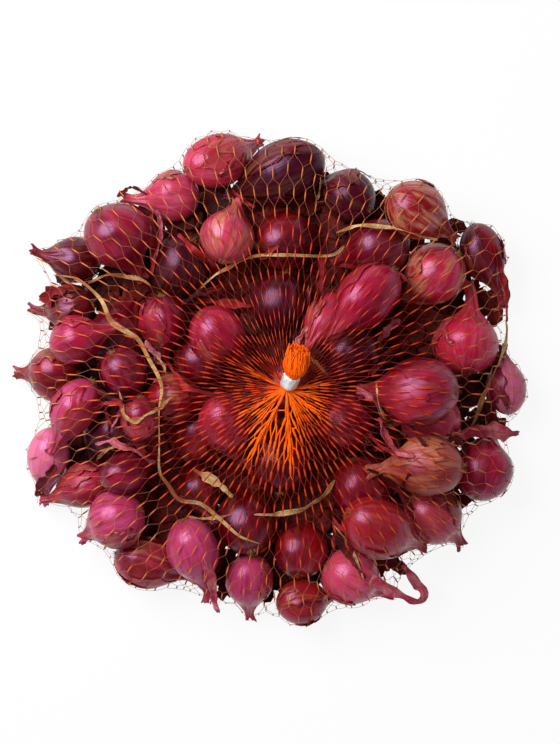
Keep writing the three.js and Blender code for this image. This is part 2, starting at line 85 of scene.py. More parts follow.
def ease(low: float, high: float, value: Array) -> Array:
    """Rises smoothly from 0 at low to 1 at high."""
    t = np.clip((value - low) / (high - low), 0.0, 1.0)
    return t * t * (3 - 2 * t)


def odd_way(points: Array) -> Array:
    """Axis of a body of revolution, from its points: the way in which it is odd."""
    sizes, ways = np.linalg.eigh(np.cov((points - points.mean(axis=0)).T))
    return ways[:, 2] if sizes[2] - sizes[1] > sizes[1] - sizes[0] else ways[:, 0]


def smooth_curve(x: Array, stations: Array, heights: Array) -> Array:
    """Reads a smooth curve through a row of stations.

    Args:
        x: Where to read it.
        stations: Rising positions of the known points.
        heights: The curve's heights there.

    Returns:
        The heights at x.
    """
    slopes = np.gradient(heights, stations)
    i = np.clip(np.searchsorted(stations, x, side="right") - 1, 0, len(stations) - 2)
    span = stations[i + 1] - stations[i]
    t = np.clip((x - stations[i]) / span, 0.0, 1.0)
    from_left = heights[i] * (1 + 2 * t) * (1 - t) ** 2 + slopes[i] * span * t * (1 - t) ** 2
    from_right = heights[i + 1] * t * t * (3 - 2 * t) - slopes[i + 1] * span * t * t * (1 - t)
    return from_left + from_right


def node_points(name: str) -> Array:
    """Points of a CAD node, in millimetres."""
    mesh = frame["nodes"][name].data
    points = np.empty(len(mesh.vertices) * 3, np.float32)
    mesh.vertices.foreach_get("co", points)
    return points.reshape(-1, 3).astype(float) / MM


def new_object(name: str, data: bpy.types.ID) -> bpy.types.Object:
    """Makes an object of a mesh, a lamp or a camera, and puts it in the scene."""
    made = bpy.data.objects.new(name, data)
    bpy.context.scene.collection.objects.link(made)
    return made


def bare_mesh(
    name: str, points: Array, edges: list[list[int]], faces: list[list[int]]
) -> bpy.types.Mesh:
    """Makes a mesh.

    Args:
        name: Its name.
        points: Its points, in millimetres.
        edges: Its loose edges, as pairs of point numbers.
        faces: Its faces, as rows of point numbers.

    Returns:
        The mesh, in metres.
    """
    mesh = bpy.data.meshes.new(name)
    mesh.from_pydata((points * MM).tolist(), edges, faces)
    return mesh


def tube_faces(around: int, along: int) -> Array:
    """Faces of a tube of `along` rings of `around` points each, looking outwards."""
    ring, i = np.meshgrid(np.arange(along - 1), np.arange(around), indexing="ij")
    first = ring * around + i
    second = ring * around + (i + 1) % around
    return np.stack([first, second, second + around, first + around], -1).reshape(-1, 4)


def slab(grid: Array, thickness: float) -> tuple[Array, Array]:
    """Gives a sheet of points a thickness, as one closed shell.

    Args:
        grid: Points of the sheet, rows by columns by 3.
        thickness: From one face to the other.

    Returns:
        The shell's points and its faces.
    """
    rows, columns = grid.shape[:2]
    along = np.gradient(grid, axis=0)
    across = np.gradient(grid, axis=1)
    normal = unit(np.cross(along, across)) * thickness / 2
    points = np.concatenate([(grid + normal).reshape(-1, 3), (grid - normal).reshape(-1, 3)])
    index = np.arange(rows * columns).reshape(rows, columns)
    upper = np.stack([index[:-1, :-1], index[1:, :-1], index[1:, 1:], index[:-1, 1:]], -1)
    upper = upper.reshape(-1, 4)
    lower = upper[:, ::-1] + rows * columns
    border = np.concatenate([index[0, :], index[1:, -1], index[-1, -2::-1], index[-2:0:-1, 0]])
    after = np.roll(border, -1)
    edge = np.stack([border, after, after + rows * columns, border + rows * columns], -1)
    return points, np.concatenate([upper, lower, edge])


@dataclass
class MeshMaker:
    """Gathers points, faces and point values, and makes one object of them."""

    points: list[Array] = field(default_factory=list)
    faces: list[list[int]] = field(default_factory=list)
    values: dict[str, list[Array]] = field(default_factory=dict)
    count: int = 0

    def add(self, points: Array, faces: Array, **values: Array) -> None:
        """Adds a shell.

        Args:
            points: Its points, in millimetres.
            faces: Its faces, as rows of point numbers.
            **values: A number or a vector for every point, by name.
        """
        self.points.append(points)
        self.faces += (faces + self.count).tolist()
        for name, value in values.items():
            self.values.setdefault(name, []).append(value)
        self.count += len(points)

    def add_fan(self, ring: Array, centre: int, start: int) -> None:
        """Closes a ring of points with triangles to a centre point.

        Args:
            ring: The ring's point numbers, in order round the outward direction.
            centre: The centre's point number.
            start: Number of the shell's first point.
        """
        after = np.roll(ring, -1)
        for a, b in zip(ring, after):
            self.faces.append([int(a) + start, int(b) + start, centre + start])

    def build(self, name: str, material: bpy.types.Material) -> bpy.types.Object:
        """Makes the object.

        Args:
            name: The piece's name.
            material: Its only material.

        Returns:
            The new object, at the origin with its place in its mesh.
        """
        mesh = bare_mesh(name, np.concatenate(self.points), [], self.faces)
        for key, parts in self.values.items():
            value = np.concatenate(parts).astype(np.float32)
            kind = "FLOAT" if value.ndim == 1 else "FLOAT_VECTOR"
            slot = mesh.attributes.new(key, kind, "POINT")
            slot.data.foreach_set("value" if kind == "FLOAT" else "vector", value.ravel())
        mesh.shade_smooth()
        mesh.materials.append(material)
        mesh.validate()
        return new_object(name, mesh)


def place(piece: bpy.types.Object, slot: str, *nodes: str) -> bpy.types.Object:
    """Puts a finished piece on the bag.

    Args:
        piece: The piece, at the origin.
        slot: The record's material slot of its finish; not used.
        *nodes: The CAD nodes that it stands for.

    Returns:
        The same piece.
    """
    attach(piece, "root")
    if nodes:
        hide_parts(*nodes)
    LOG.info("%s: %d faces", piece.name, len(piece.data.polygons))
    return piece


# ---- Shader groups ----------------------------------------------------------------------


@dataclass
class GroupBench:
    """Builds one shader node group with named inputs and outputs."""

    tree: bpy.types.NodeTree
    inputs: bpy.types.Node
    outputs: bpy.types.Node

    @classmethod
    def start(cls, name: str, takes: dict[str, object], gives: dict[str, str]) -> "GroupBench":
        """Makes an empty group.

        Args:
            name: The group's name.
            takes: Inputs and their default values; None makes a vector input.
            gives: Outputs, each Float or Color.

        Returns:
            The bench with the group's input and output nodes.
        """
        tree = bpy.data.node_groups.new(name, "ShaderNodeTree")
        for key, value in takes.items():
            kind = "NodeSocketVector" if value is None else "NodeSocketFloat"
            if isinstance(value, tuple):
                kind = "NodeSocketColor"
            socket = tree.interface.new_socket(key, in_out="INPUT", socket_type=kind)
            if value is not None:
                socket.default_value = value
        for key, kind in gives.items():
            tree.interface.new_socket(key, in_out="OUTPUT", socket_type=f"NodeSocket{kind}")
        inputs = tree.nodes.new("NodeGroupInput")
        outputs = tree.nodes.new("NodeGroupOutput")
        return cls(tree, inputs, outputs)

    def node(self, kind: str, **links: object) -> bpy.types.Node:
        """Adds a node and feeds its inputs; see `feed`."""
        node = self.tree.nodes.new(kind)
        feed(self.tree, node, links)
        return node

    def math(self, operation: str, *values: object) -> bpy.types.NodeSocket:
        """Adds a Math node and returns its result."""
        return math_node(self.tree, operation, *values)


def join(tree: bpy.types.NodeTree, socket: bpy.types.NodeSocket, value: object) -> None:
    """Links another node's output to a socket, or sets the socket's value."""
    if isinstance(value, bpy.types.NodeSocket):
        tree.links.new(value, socket)
    else:
        socket.default_value = value


def feed(tree: bpy.types.NodeTree, node: bpy.types.Node, links: dict[str, object]) -> None:
    """Links sockets to a node's inputs, or sets their values.

    Args:
        tree: The tree that holds the node.
        node: The node.
        links: Input names, with _ for a space, and what each gets.
    """
    for key, value in links.items():
        join(tree, node.inputs[key.replace("_", " ")], value)


def math_node(tree: bpy.types.NodeTree, operation: str, *values: object) -> bpy.types.NodeSocket:
    """Adds a Math node.

    Args:
        tree: The tree to add it to.
        operation: Its operation.
        *values: A socket or a number for each input.

    Returns:
        Its result.
    """
    node = tree.nodes.new("ShaderNodeMath")
    node.operation = operation
    for socket, value in zip(node.inputs, values):
        join(tree, socket, value)
    return node.outputs[0]


def mix_colours(
    tree: bpy.types.NodeTree, factor: object, a: object, b: object
) -> bpy.types.NodeSocket:
    """Mixes two colours.

    Args:
        tree: The tree to add the node to.
        factor: How much of b shows.
        a: The colour at factor 0.
        b: The colour at factor 1.

    Returns:
        The mixed colour.
    """
    node = tree.nodes.new("ShaderNodeMix")
    node.data_type = "RGBA"
    join(tree, node.inputs[0], factor)
    join(tree, node.inputs[6], a)
    join(tree, node.inputs[7], b)
    return node.outputs[2]


def band(
    tree: bpy.types.NodeTree, value: object, low: object, high: object
) -> bpy.types.NodeSocket:
    """Rises smoothly from 0 where value is low to 1 where it is high."""
    node = tree.nodes.new("ShaderNodeMapRange")
    node.interpolation_type = "SMOOTHSTEP"
    feed(tree, node, {"Value": value, "From_Min": low, "From_Max": high})
    return node.outputs["Result"]


def veins_group() -> bpy.types.NodeTree:
    """The lengthwise veins of a skin or a leaf.

    Returns:
        A group that takes growth coordinates, the veins' number and their stretch along the
        piece, and gives a mask of the veins and their relief.
    """
    takes = {"Growth": None, "Number": 16.0, "Stretch": 0.6}
    bench = GroupBench.start("lengthwise_veins", takes, {"Veins": "Float", "Relief": "Float"})
    tree = bench.tree
    split = bench.node("ShaderNodeSeparateXYZ", Vector=bench.inputs.outputs["Growth"])
    number = bench.inputs.outputs["Number"]
    stretch = bench.inputs.outputs["Stretch"]
    joined = bench.node(
        "ShaderNodeCombineXYZ",
        X=bench.math("MULTIPLY", split.outputs["X"], number),
        Y=bench.math("MULTIPLY", split.outputs["Y"], number),
        Z=bench.math("MULTIPLY", split.outputs["Z"], stretch),
    )
    broad = bench.node(
        "ShaderNodeTexNoise", Vector=joined.outputs[0], Scale=0.5, Detail=2.0, Roughness=0.5
    )
    fine = bench.node(
        "ShaderNodeTexNoise", Vector=joined.outputs[0], Scale=1.6, Detail=3.0, Roughness=0.6
    )
    ridge = bench.math("ABSOLUTE", bench.math("SUBTRACT", broad.outputs["Fac"], 0.5))
    lines = bench.math("SUBTRACT", 1.0, band(tree, ridge, 0.0, 0.05))
    hair = band(tree, fine.outputs["Fac"], 0.52, 0.68)
    strong = bench.math("MULTIPLY", lines, 0.8)
    veins = bench.math("MAXIMUM", strong, bench.math("MULTIPLY", hair, 0.5))
    relief = bench.math("SUBTRACT", fine.outputs["Fac"], bench.math("MULTIPLY", lines, 0.35))
    tree.links.new(veins, bench.outputs.inputs["Veins"])
    tree.links.new(relief, bench.outputs.inputs["Relief"])
    return tree


def mottle_group() -> bpy.types.NodeTree:
    """Soft blotches, such as worn skin or dust.

    Returns:
        A group that takes coordinates, a scale and the levels where the blotches start and
        are full, and gives their mask.
    """
    takes = {"Place": None, "Scale": 4.0, "Start": 0.45, "Full": 0.65}
    bench = GroupBench.start("soft_blotches", takes, {"Blotches": "Float"})
    noise = bench.node(
        "ShaderNodeTexNoise",
        Vector=bench.inputs.outputs["Place"],
        Scale=bench.inputs.outputs["Scale"],
        Detail=4.0,
        Roughness=0.6,
        Distortion=0.4,
    )
    start, full = bench.inputs.outputs["Start"], bench.inputs.outputs["Full"]
    blotches = band(bench.tree, noise.outputs["Fac"], start, full)
    bench.tree.links.new(blotches, bench.outputs.inputs["Blotches"])
    return bench.tree


VEINS = veins_group()
MOTTLE = mottle_group()


@dataclass
class Paint:
    """The node tree of one material, with its Principled shader."""

    material: bpy.types.Material
    tree: bpy.types.NodeTree
    shader: bpy.types.Node

    @classmethod
    def start(cls, name: str, **settings: object) -> "Paint":
        """Makes a material.

        Args:
            name: Its name.
            **settings: Values of the Principled shader's inputs, with _ for a space.

        Returns:
            The paint, ready for more nodes.
        """
        material = bpy.data.materials.new(name)
        material.use_nodes = True
        tree = material.node_tree
        shader = tree.nodes["Principled BSDF"]
        feed(tree, shader, settings)
        return cls(material, tree, shader)

    def value(self, name: str) -> bpy.types.Node:
        """Reads one of the mesh's own attributes."""
        node = self.tree.nodes.new("ShaderNodeAttribute")
        node.attribute_name = name
        return node

    def place(self) -> bpy.types.NodeSocket:
        """The point's place on the object, in metres."""
        return self.tree.nodes.new("ShaderNodeTexCoord").outputs["Object"]

    def group(self, group: bpy.types.NodeTree, **links: object) -> bpy.types.Node:
        """Adds a shared group with its own values."""
        node = self.tree.nodes.new("ShaderNodeGroup")
        node.node_tree = group
        feed(self.tree, node, links)
        return node

    def mix(self, factor: object, a: object, b: object) -> bpy.types.NodeSocket:
        """Mixes two colours; see `mix_colours`."""
        return mix_colours(self.tree, factor, a, b)

    def math(self, operation: str, *values: object) -> bpy.types.NodeSocket:
        """Adds a Math node; see `math_node`."""
        return math_node(self.tree, operation, *values)

    def bump(self, height: object, strength: float, distance: float) -> None:
        """Raises the surface.

        Args:
            height: The relief, about 0 to 1.
            strength: How strongly it shows.
            distance: Its depth, in metres.
        """
        node = self.tree.nodes.new("ShaderNodeBump")
        feed(self.tree, node, {"Height": height, "Strength": strength, "Distance": distance})
        self.tree.links.new(node.outputs["Normal"], self.shader.inputs["Normal"])

    def wire(self, **links: bpy.types.NodeSocket) -> bpy.types.Material:
        """Links the shader's inputs and returns the finished material."""
        feed(self.tree, self.shader, links)
        return self.material


# ---- Finishes ---------------------------------------------------------------------------


# Weathered outer skin, on any kind of onion.
HUSK = srgb(198, 142, 98)


@dataclass(frozen=True)
class SkinFinish:
    """The thin dry skin of one kind of onion, from its deep colour, which is also painted shade on
    bulbs set dark, to its worn patches.
    """

    name: str
    deep: Colour
    body: Colour
    bloom: Colour
    dry: Colour
    roughness: float = 0.26
    shine: float = 0.62
    shine_tint: Colour = (1.0, 0.5, 0.94, 1.0)

    def material(self) -> bpy.types.Material:
        """Veined, blotched skin that turns to dry paper towards the neck."""
        gloss = {"Specular_IOR_Level": self.shine, "Specular_Tint": self.shine_tint}
        paint = Paint.start(self.name, **gloss)
        growth = paint.value("growth").outputs["Vector"]
        dry = paint.value("dry").outputs["Fac"]
        tone = paint.value("tone").outputs["Fac"]
        veins = paint.group(VEINS, Growth=growth, Number=13.0, Stretch=1.1)
        broad = paint.group(MOTTLE, Place=growth, Scale=0.9, Start=0.34, Full=0.66)
        worn = paint.group(MOTTLE, Place=growth, Scale=2.1, Start=0.5, Full=0.74)
        fine = paint.group(MOTTLE, Place=paint.place(), Scale=900.0, Start=0.3, Full=0.8)
        # A tone below 0 is partly painted shade: it draws the skin to its deep colour and keeps
        # worn patches off it.
        shade = paint.math("ADD", broad.outputs[0], paint.math("MULTIPLY", tone, 0.45))
        colour = paint.mix(shade, self.deep, self.body)
        worn_share = paint.math("MULTIPLY", band(paint.tree, tone, -1.6, 0.2), 0.4)
        pale = paint.math("MULTIPLY", worn.outputs[0], worn_share)
        pale = paint.math("ADD", pale, band(paint.tree, tone, 1.0, 3.0))
        colour = paint.mix(pale, colour, self.bloom)
        vein = paint.math("MULTIPLY", veins.outputs["Veins"], 0.6)
        colour = paint.mix(vein, colour, self.deep)
        dusty = paint.math("MULTIPLY", dry, paint.math("ADD", 0.45, worn.outputs[0]))
        colour = paint.mix(dusty, colour, self.dry)
        streaks = paint.group(VEINS, Growth=growth, Number=6.0, Stretch=1.6)
        peeled = paint.group(MOTTLE, Place=growth, Scale=1.7, Start=0.42, Full=0.6)
        husk = paint.math("MULTIPLY", paint.value("husk").outputs["Fac"], peeled.outputs[0])
        streak = band(paint.tree, streaks.outputs["Relief"], 0.2, 0.62)
        colour = paint.mix(paint.math("MULTIPLY", husk, streak), colour, HUSK)
        speck = paint.math("MULTIPLY", fine.outputs[0], 0.12)
        colour = paint.mix(speck, colour, self.deep)
        rough = paint.math("ADD", self.roughness, paint.math("MULTIPLY", dry, 0.13))
        rough = paint.math("ADD", rough, paint.math("MULTIPLY", veins.outputs["Veins"], 0.09))
        paint.bump(veins.outputs["Relief"], 0.13, 0.0004)
        return paint.wire(Base_Color=colour, Roughness=rough)


@dataclass(frozen=True)
class PaperFinish:
    """A dried leaf, root or scrap of skin."""

    name: str
    deep: Colour
    body: Colour
    pale: Colour
    stain: Colour
    roughness: float = 0.7

    def material(self) -> bpy.types.Material:
        """Brittle paper with veins along it, weathered blotches and stained lengths."""
        paint = Paint.start(self.name, Roughness=self.roughness, Specular_IOR_Level=0.2)
        growth = paint.value("growth").outputs["Vector"]
        veins = paint.group(VEINS, Growth=growth, Number=9.0, Stretch=0.35)
        blotch = paint.group(MOTTLE, Place=paint.place(), Scale=110.0, Start=0.35, Full=0.66)
        stained = paint.group(MOTTLE, Place=paint.place(), Scale=34.0, Start=0.5, Full=0.62)
        colour = paint.mix(blotch.outputs[0], self.body, self.pale)
        colour = paint.mix(paint.math("MULTIPLY", stained.outputs[0], 0.75), colour, self.stain)
        vein = paint.math("MULTIPLY", veins.outputs["Veins"], 0.6)
        colour = paint.mix(vein, colour, self.deep)
        paint.bump(veins.outputs["Relief"], 0.6, 0.0004)
        return paint.wire(Base_Color=colour)


@dataclass(frozen=True)
class NetFinish:
    """Extruded polyethylene netting: strong colour where it is thick, pale where drawn thin."""

    name: str
    thick: Colour
    drawn: Colour
    thin: Colour
    strand: Colour
    pale: Colour

    def material(self) -> bpy.types.Material:
        """Slightly glossy plastic whose colour follows how far it has been drawn."""
        paint = Paint.start(self.name, Roughness=0.5, Specular_IOR_Level=0.15)
        drawn = paint.value("drawn").outputs["Fac"]
        slim = paint.value("slim").outputs["Fac"]
        streak = paint.group(MOTTLE, Place=paint.place(), Scale=420.0, Start=0.35, Full=0.7)
        near = band(paint.tree, drawn, 0.0, 0.24)
        far = band(paint.tree, drawn, 0.7, 1.0)
        joints = paint.mix(far, paint.mix(near, self.thick, self.drawn), self.thin)
        strands = paint.mix(far, paint.mix(near, self.thick, self.strand), self.pale)
        colour = paint.mix(slim, joints, strands)
        dull = paint.math("MULTIPLY", streak.outputs[0], 0.22)
        colour = paint.mix(dull, colour, self.strand)
        paint.bump(streak.outputs[0], 0.25, 0.0002)
        return paint.wire(Base_Color=colour)


@dataclass(frozen=True)
class WireFinish:
    """Bright aluminium wire, scuffed by the crimping jaws."""

    name: str
    metal: Colour
    scuffed: Colour

    def material(self) -> bpy.types.Material:
        """Metal with fine scuffs in its gloss and relief."""
        paint = Paint.start(self.name, Metallic=0.55)
        scuff = paint.group(MOTTLE, Place=paint.place(), Scale=600.0, Start=0.4, Full=0.7)
        fine = paint.group(MOTTLE, Place=paint.place(), Scale=2600.0, Start=0.3, Full=0.7)
        colour = paint.mix(scuff.outputs[0], self.metal, self.scuffed)
        rough = paint.math("ADD", 0.3, paint.math("MULTIPLY", scuff.outputs[0], 0.2))
        paint.bump(fine.outputs[0], 0.2, 0.0001)
        return paint.wire(Base_Color=colour, Roughness=rough)


class SkinTone(Enum):
    """The kinds of skin in the bag, named as the record's slots are."""

    MAGENTA = "skin_magenta"
    ROSE = "skin_rose"
    PURPLE = "skin_purple"
    CRIMSON = "skin_crimson"
    COPPER = "skin_copper"


SKINS = {
    SkinTone.MAGENTA: SkinFinish(
        "skin_magenta", srgb(92, 0, 18), srgb(164, 10, 51), srgb(200, 80, 130), srgb(146, 36, 32)
    ),
    SkinTone.ROSE: SkinFinish(
        "skin_rose", srgb(116, 2, 20), srgb(186, 31, 60), srgb(218, 110, 150), srgb(168, 58, 48)
    ),
    SkinTone.PURPLE: SkinFinish(
        "skin_purple",
        srgb(50, 0, 10),
        srgb(96, 3, 27),
        srgb(190, 90, 122),
        srgb(96, 16, 18),
        shine=0.4,
    ),
    SkinTone.CRIMSON: SkinFinish(
        "skin_crimson", srgb(74, 0, 4), srgb(146, 8, 19), srgb(184, 64, 74), srgb(128, 30, 18)
    ),
    SkinTone.COPPER: SkinFinish(
        "skin_copper",
        srgb(120, 32, 20),
        srgb(186, 70, 50),
        srgb(206, 120, 98),
        srgb(178, 92, 58),
        roughness=0.38,
    ),
}


class Paper(Enum):
    """What a loose ribbon or scrap is made of."""

    TAN = PaperFinish(
        "leaf_tan", srgb(84, 42, 18), srgb(176, 124, 68), srgb(232, 196, 138), srgb(150, 66, 42)
    )
    RED = PaperFinish(
        "leaf_red", srgb(62, 2, 8), srgb(146, 14, 26), srgb(200, 66, 66), srgb(96, 6, 18)
    )
    PINK = PaperFinish(
        "leaf_pink", srgb(98, 10, 32), srgb(182, 46, 76), srgb(228, 138, 152), srgb(140, 18, 40)
    )
    DARK = PaperFinish(
        "leaf_dark", srgb(28, 1, 3), srgb(78, 6, 12), srgb(120, 28, 28), srgb(44, 2, 6)
    )
    # Dark scraps of loose skin, also laid thick in the gaps as painted shade.
    LITTER = PaperFinish(
        "loose_skins", srgb(26, 1, 1), srgb(70, 6, 5), srgb(108, 20, 14), srgb(40, 1, 2)
    )


NET_FINISH = NetFinish(
    "net_orange",
    srgb(250, 103, 0),
    srgb(196, 58, 8),
    srgb(206, 116, 60),
    srgb(138, 30, 6),
    srgb(172, 108, 72),
)
WIRE_FINISH = WireFinish("clip_aluminium", srgb(236, 238, 240), srgb(196, 200, 204))

MATERIALS = {finish.name: finish.material() for finish in SKINS.values()}
MATERIALS |= {paper.value.name: paper.value.material() for paper in Paper}
MATERIALS |= {finish.name: finish.material() for finish in (NET_FINISH, WIRE_FINISH)}


# ---- Onions -----------------------------------------------------------------------------

# Outline of a bulb's body and of its neck: shares of its length, and of half its girth.
BODY_OUTLINE = [(0.0, 0.2), (0.03, 0.4), (0.07, 0.55), (0.14, 0.73), (0.22, 0.86), (0.34, 0.96)]
BODY_OUTLINE += [(0.46, 1.0), (0.58, 0.95), (0.68, 0.84), (0.78, 0.65), (0.86, 0.47), (0.93, 0.33)]
BODY_OUTLINE += [(1.0, 0.24)]
BODY_SHARES, BODY_RADII = np.array(BODY_OUTLINE).T
NECK_SHARES = np.array([0.0, 0.25, 0.55, 0.85, 1.0])
NECK_RADII = np.array([0.24, 0.17, 0.13, 0.14, 0.16])
WIDEST_SHARE = 0.46
# Thickness of one outer skin that has come loose, and how far off the bulb it lies.
FLAKE_THICKNESS = 0.16
FLAKE_LIFT = 0.18

# Bulbs whose outer skin has weathered to tan paper, and how much of it.
HUSKS = {"onion_39": 0.8, "onion_30": 0.3, "onion_35": 0.7, "onion_04": 0.6}
# Bulbs that are plainly darker (below 0) or paler (above 1) than their kind. The values below 0
# are partly the bulbs' own tone and partly painted shade, for bulbs that lie low or deep in the
# pile.
TONES_AND_PAINTED_SHADE = {
    "onion_01": 1.3,
    "onion_02": 1.5,
    "onion_03": -1.2,
    "onion_04": 1.5,
    "onion_06": -2.2,
    "onion_07": -1.4,
    "onion_10": 1.8,
    "onion_11": -1.0,
    "onion_12": 2.6,
    "onion_14": -0.8,
    "onion_16": -1.4,
    "onion_18": 1.0,
    "onion_21": 1.8,
    "onion_22": -0.8,
    "onion_23": 1.9,
    "onion_24": 1.8,
    "onion_26": 1.1,
    "onion_28": 1.6,
    "onion_29": 1.3,
    "onion_33": 3.0,
    "onion_34": 1.0,
    "onion_36": 0.9,
    "onion_37": 1.3,
    "onion_38": -0.8,
    "onion_41": -0.8,
    "onion_42": -1.0,
    "onion_43": -0.6,
    "onion_44": -0.9,
    "onion_46": -1.0,
    "onion_47": -1.8,
    "onion_48": 1.1,
    "onion_49": 2.3,
    "onion_50": -2.6,
    "onion_51": 1.4,
    "onion_52": -2.6,
    "onion_53": -2.6,
    "onion_54": -1.8,
    "onion_55": -1.0,
}


@dataclass
class Onion:
    """One onion set: a bulb with a root plate, thin skins and a dry, folded neck."""

    name: str
    root: Array
    axis: Array
    body: float
    neck: float
    girth: float
    tone: SkinTone
    seed: int
    husk: float = 0.06
    around: int = 60
    along: int = 52
    across: Array = field(init=False)
    side: Array = field(init=False)
    rng: np.random.Generator = field(init=False)
    phases: Array = field(init=False)
    lobe: Array = field(init=False)
    twist: float = field(init=False)
    bend: float = field(init=False)
    lean: float = field(init=False)
    shade: float = field(init=False)

    def __post_init__(self) -> None:
        """Settles the directions square to the axis, and this bulb's own irregularities."""
        self.across = unit(np.cross(UP, self.axis))
        self.side = np.cross(self.axis, self.across)
        self.rng = np.random.default_rng(self.seed)
        self.phases = self.rng.uniform(0, 2 * math.pi, 8)
        self.lobe = self.rng.uniform(0.008, 0.035, 3)
        self.twist = self.rng.uniform(-1.4, 1.4)
        self.bend = self.rng.uniform(-0.35, 0.35)
        self.lean = self.rng.uniform(-0.05, 0.05)
        # A shade below 0 is partly painted shade, for where the bulb lies in the pile.
        self.shade = TONES_AND_PAINTED_SHADE.get(self.name, self.rng.uniform(-1.0, 1.0))
        self.husk = HUSKS.get(self.name, self.husk)

    @classmethod
    def from_frame(cls, name: str, slot: str, seed: int) -> "Onion":
        """Reads where a bulb lies and how large it is from its CAD node.

        Args:
            name: The node's name.
            slot: Its material slot, which names its skin.
            seed: Seed of its irregularities.

        Returns:
            The onion.
        """
        points = node_points(name)
        centre = points.mean(axis=0)
        axis = odd_way(points)
        run = (points - centre) @ axis
        radius = np.linalg.norm(points - centre - np.outer(run, axis), axis=1)
        low_end = radius[run < run.min() + 0.05].max()
        high_end = radius[run > run.max() - 0.05].max()
        if high_end > low_end:
            axis, run = -axis, -run
        root = centre + axis * run.min()
        widest = run[np.argmax(radius)] - run.min()
        body = widest / WIDEST_SHARE
        neck = run.max() - run.min() - body
        girth = 2 * radius.max()
        return cls(name, root, axis, body, neck, girth, SkinTone(slot), seed)

    def outline(self, run: Array) -> Array:
        """The bulb's plain radius at a distance from its root."""
        body = smooth_curve(np.clip(run / self.body, 0, 1), BODY_SHARES, BODY_RADII)
        share = np.clip((run - self.body) / self.neck, 0, 1)
        neck = smooth_curve(share, NECK_SHARES, NECK_RADII)
        return np.where(run > self.body, neck, body) * self.girth / 2

    def skin(self, turn: Array, run: Array, lift: Array | float = 0.0) -> Array:
        """Points on the bulb's skin.

        Args:
            turn: Angle round the axis.
            run: Distance from the root along the axis.
            lift: How far off the skin.

        Returns:
            The points, in the last axis.
        """
        radius = self.outline(run)
        full = radius / (self.girth / 2)
        tight = ease(0.62 * self.body, 1.05 * self.body, run)
        share = np.clip((run - self.body) / self.neck, 0, 1)
        p = self.phases
        lobes = self.lobe[0] * np.cos(2 * turn + p[0]) + self.lobe[1] * np.cos(3 * turn + p[1])
        ribs = 0.004 * np.cos(19 * turn + p[2]) + 0.004 * np.cos(31 * turn + p[3])
        drift = 0.6 * np.sin(run / self.body * 4 + p[4])
        folds = 0.16 * np.cos(5 * turn + p[5] + drift) + 0.10 * np.cos(9 * turn + p[6] - drift)
        radius = radius * (1 + lobes * full + ribs + folds * tight) + lift
        angle = turn + self.twist * share
        flat = 0.42 * ease(0.0, 0.8, share)
        x = radius * np.cos(angle) * (1 + flat)
        y = radius * np.sin(angle) * (1 - flat)
        bow = self.lean * self.girth * np.sin(math.pi * np.clip(run / self.body, 0, 1.4))
        x = x + self.bend * self.neck * share**2 + bow
        parts = np.stack(np.broadcast_arrays(x, y, run), axis=-1)
        return self.root + parts @ np.stack([self.across, self.side, self.axis])

    def balls(self) -> Array:
        """Spheres along the axis that fill the bulb, as rows of x, y, z and radius."""
        total = self.body + self.neck
        fine = np.linspace(0, total, 160)
        edge = self.outline(fine)
        rows = []
        run = 0.14 * self.body
        while run < total:
            radius = np.hypot(fine - run, edge).min()
            rows.append([*(self.root + self.axis * run), radius])
            run += max(0.8, 0.12 * radius)
        return np.array(rows)

    def growth(self, turn: Array, run: Array) -> Array:
        """Coordinates that follow the skin from root to neck, for its veins."""
        height = run / self.body + 3.7 * self.seed
        return np.stack([np.cos(turn), np.sin(turn), height], axis=-1)

    def add_bulb(self, maker: MeshMaker) -> None:
        """Adds the bulb itself: body, neck, root plate and ragged tip."""
        total = self.body + self.neck
        share = np.linspace(0, 1, self.along)
        run = total * (share - 0.035 * np.sin(2 * math.pi * share))
        turn = np.linspace(0, 2 * math.pi, self.around, endpoint=False)
        runs, turns = np.meshgrid(run, turn, indexing="ij")
        ragged = 0.9 * np.cos(3 * turns + self.phases[7]) + 0.5 * np.cos(7 * turns)
        runs = runs + ragged * ease(0.9, 1.0, runs / total)
        points = self.skin(turns, runs).reshape(-1, 3)
        ends = np.stack([self.root + self.axis * 0.5, self.skin(turn, run[-1] - 1.6, -0.4).mean(0)])
        dry = ease(0.72 * self.body, self.body + 0.5 * self.neck, runs).ravel()
        growth = self.growth(turns, runs).reshape(-1, 3)
        values = {
            "dry": np.append(dry, [0.4, 1.0]),
            "tone": np.full(len(points) + 2, self.shade),
            "husk": np.full(len(points) + 2, self.husk),
            "growth": np.concatenate([growth, growth[:1], growth[-1:]]),
        }
        start = maker.count
        count = len(points)
        maker.add(np.concatenate([points, ends]), tube_faces(self.around, self.along), **values)
        maker.add_fan(np.arange(self.around)[::-1], count, start)
        maker.add_fan(np.arange(count - self.around, count), count + 1, start)

    def add_flake(self, maker: MeshMaker) -> None:
        """Adds one torn piece of the outer skin, still clinging to the bulb."""
        rng = self.rng
        middle = rng.uniform(0, 2 * math.pi)
        half_turn = rng.uniform(0.35, 0.95)
        low = rng.uniform(0.1, 0.4)
        high = rng.uniform(0.72, 0.98)
        u, v = np.meshgrid(np.linspace(-1, 1, 15), np.linspace(0, 1, 17))
        phase = rng.uniform(0, 2 * math.pi, 4)
        narrow = 1 - 0.55 * ease(0.5, 1.0, v) + 0.16 * np.sin(7 * v + phase[0])
        narrow = narrow + 0.08 * np.sin(17 * v + phase[1])
        turn = middle + half_turn * u * narrow
        torn = 0.10 * np.sin(5 * u + phase[2]) + 0.05 * np.sin(13 * u + phase[3])
        run = self.body * (low + torn * (1 - v) + (high - low) * v)
        curled = 0.75 * np.abs(u) ** 3 * (1 - 0.6 * v) + 0.5 * ease(0.25, 0.0, v)
        sheet = self.skin(turn, run, FLAKE_LIFT + curled)
        points, faces = slab(sheet, FLAKE_THICKNESS)
        growth = np.tile(self.growth(turn, run).reshape(-1, 3), (2, 1))
        dry = rng.uniform(0.25, 0.8)
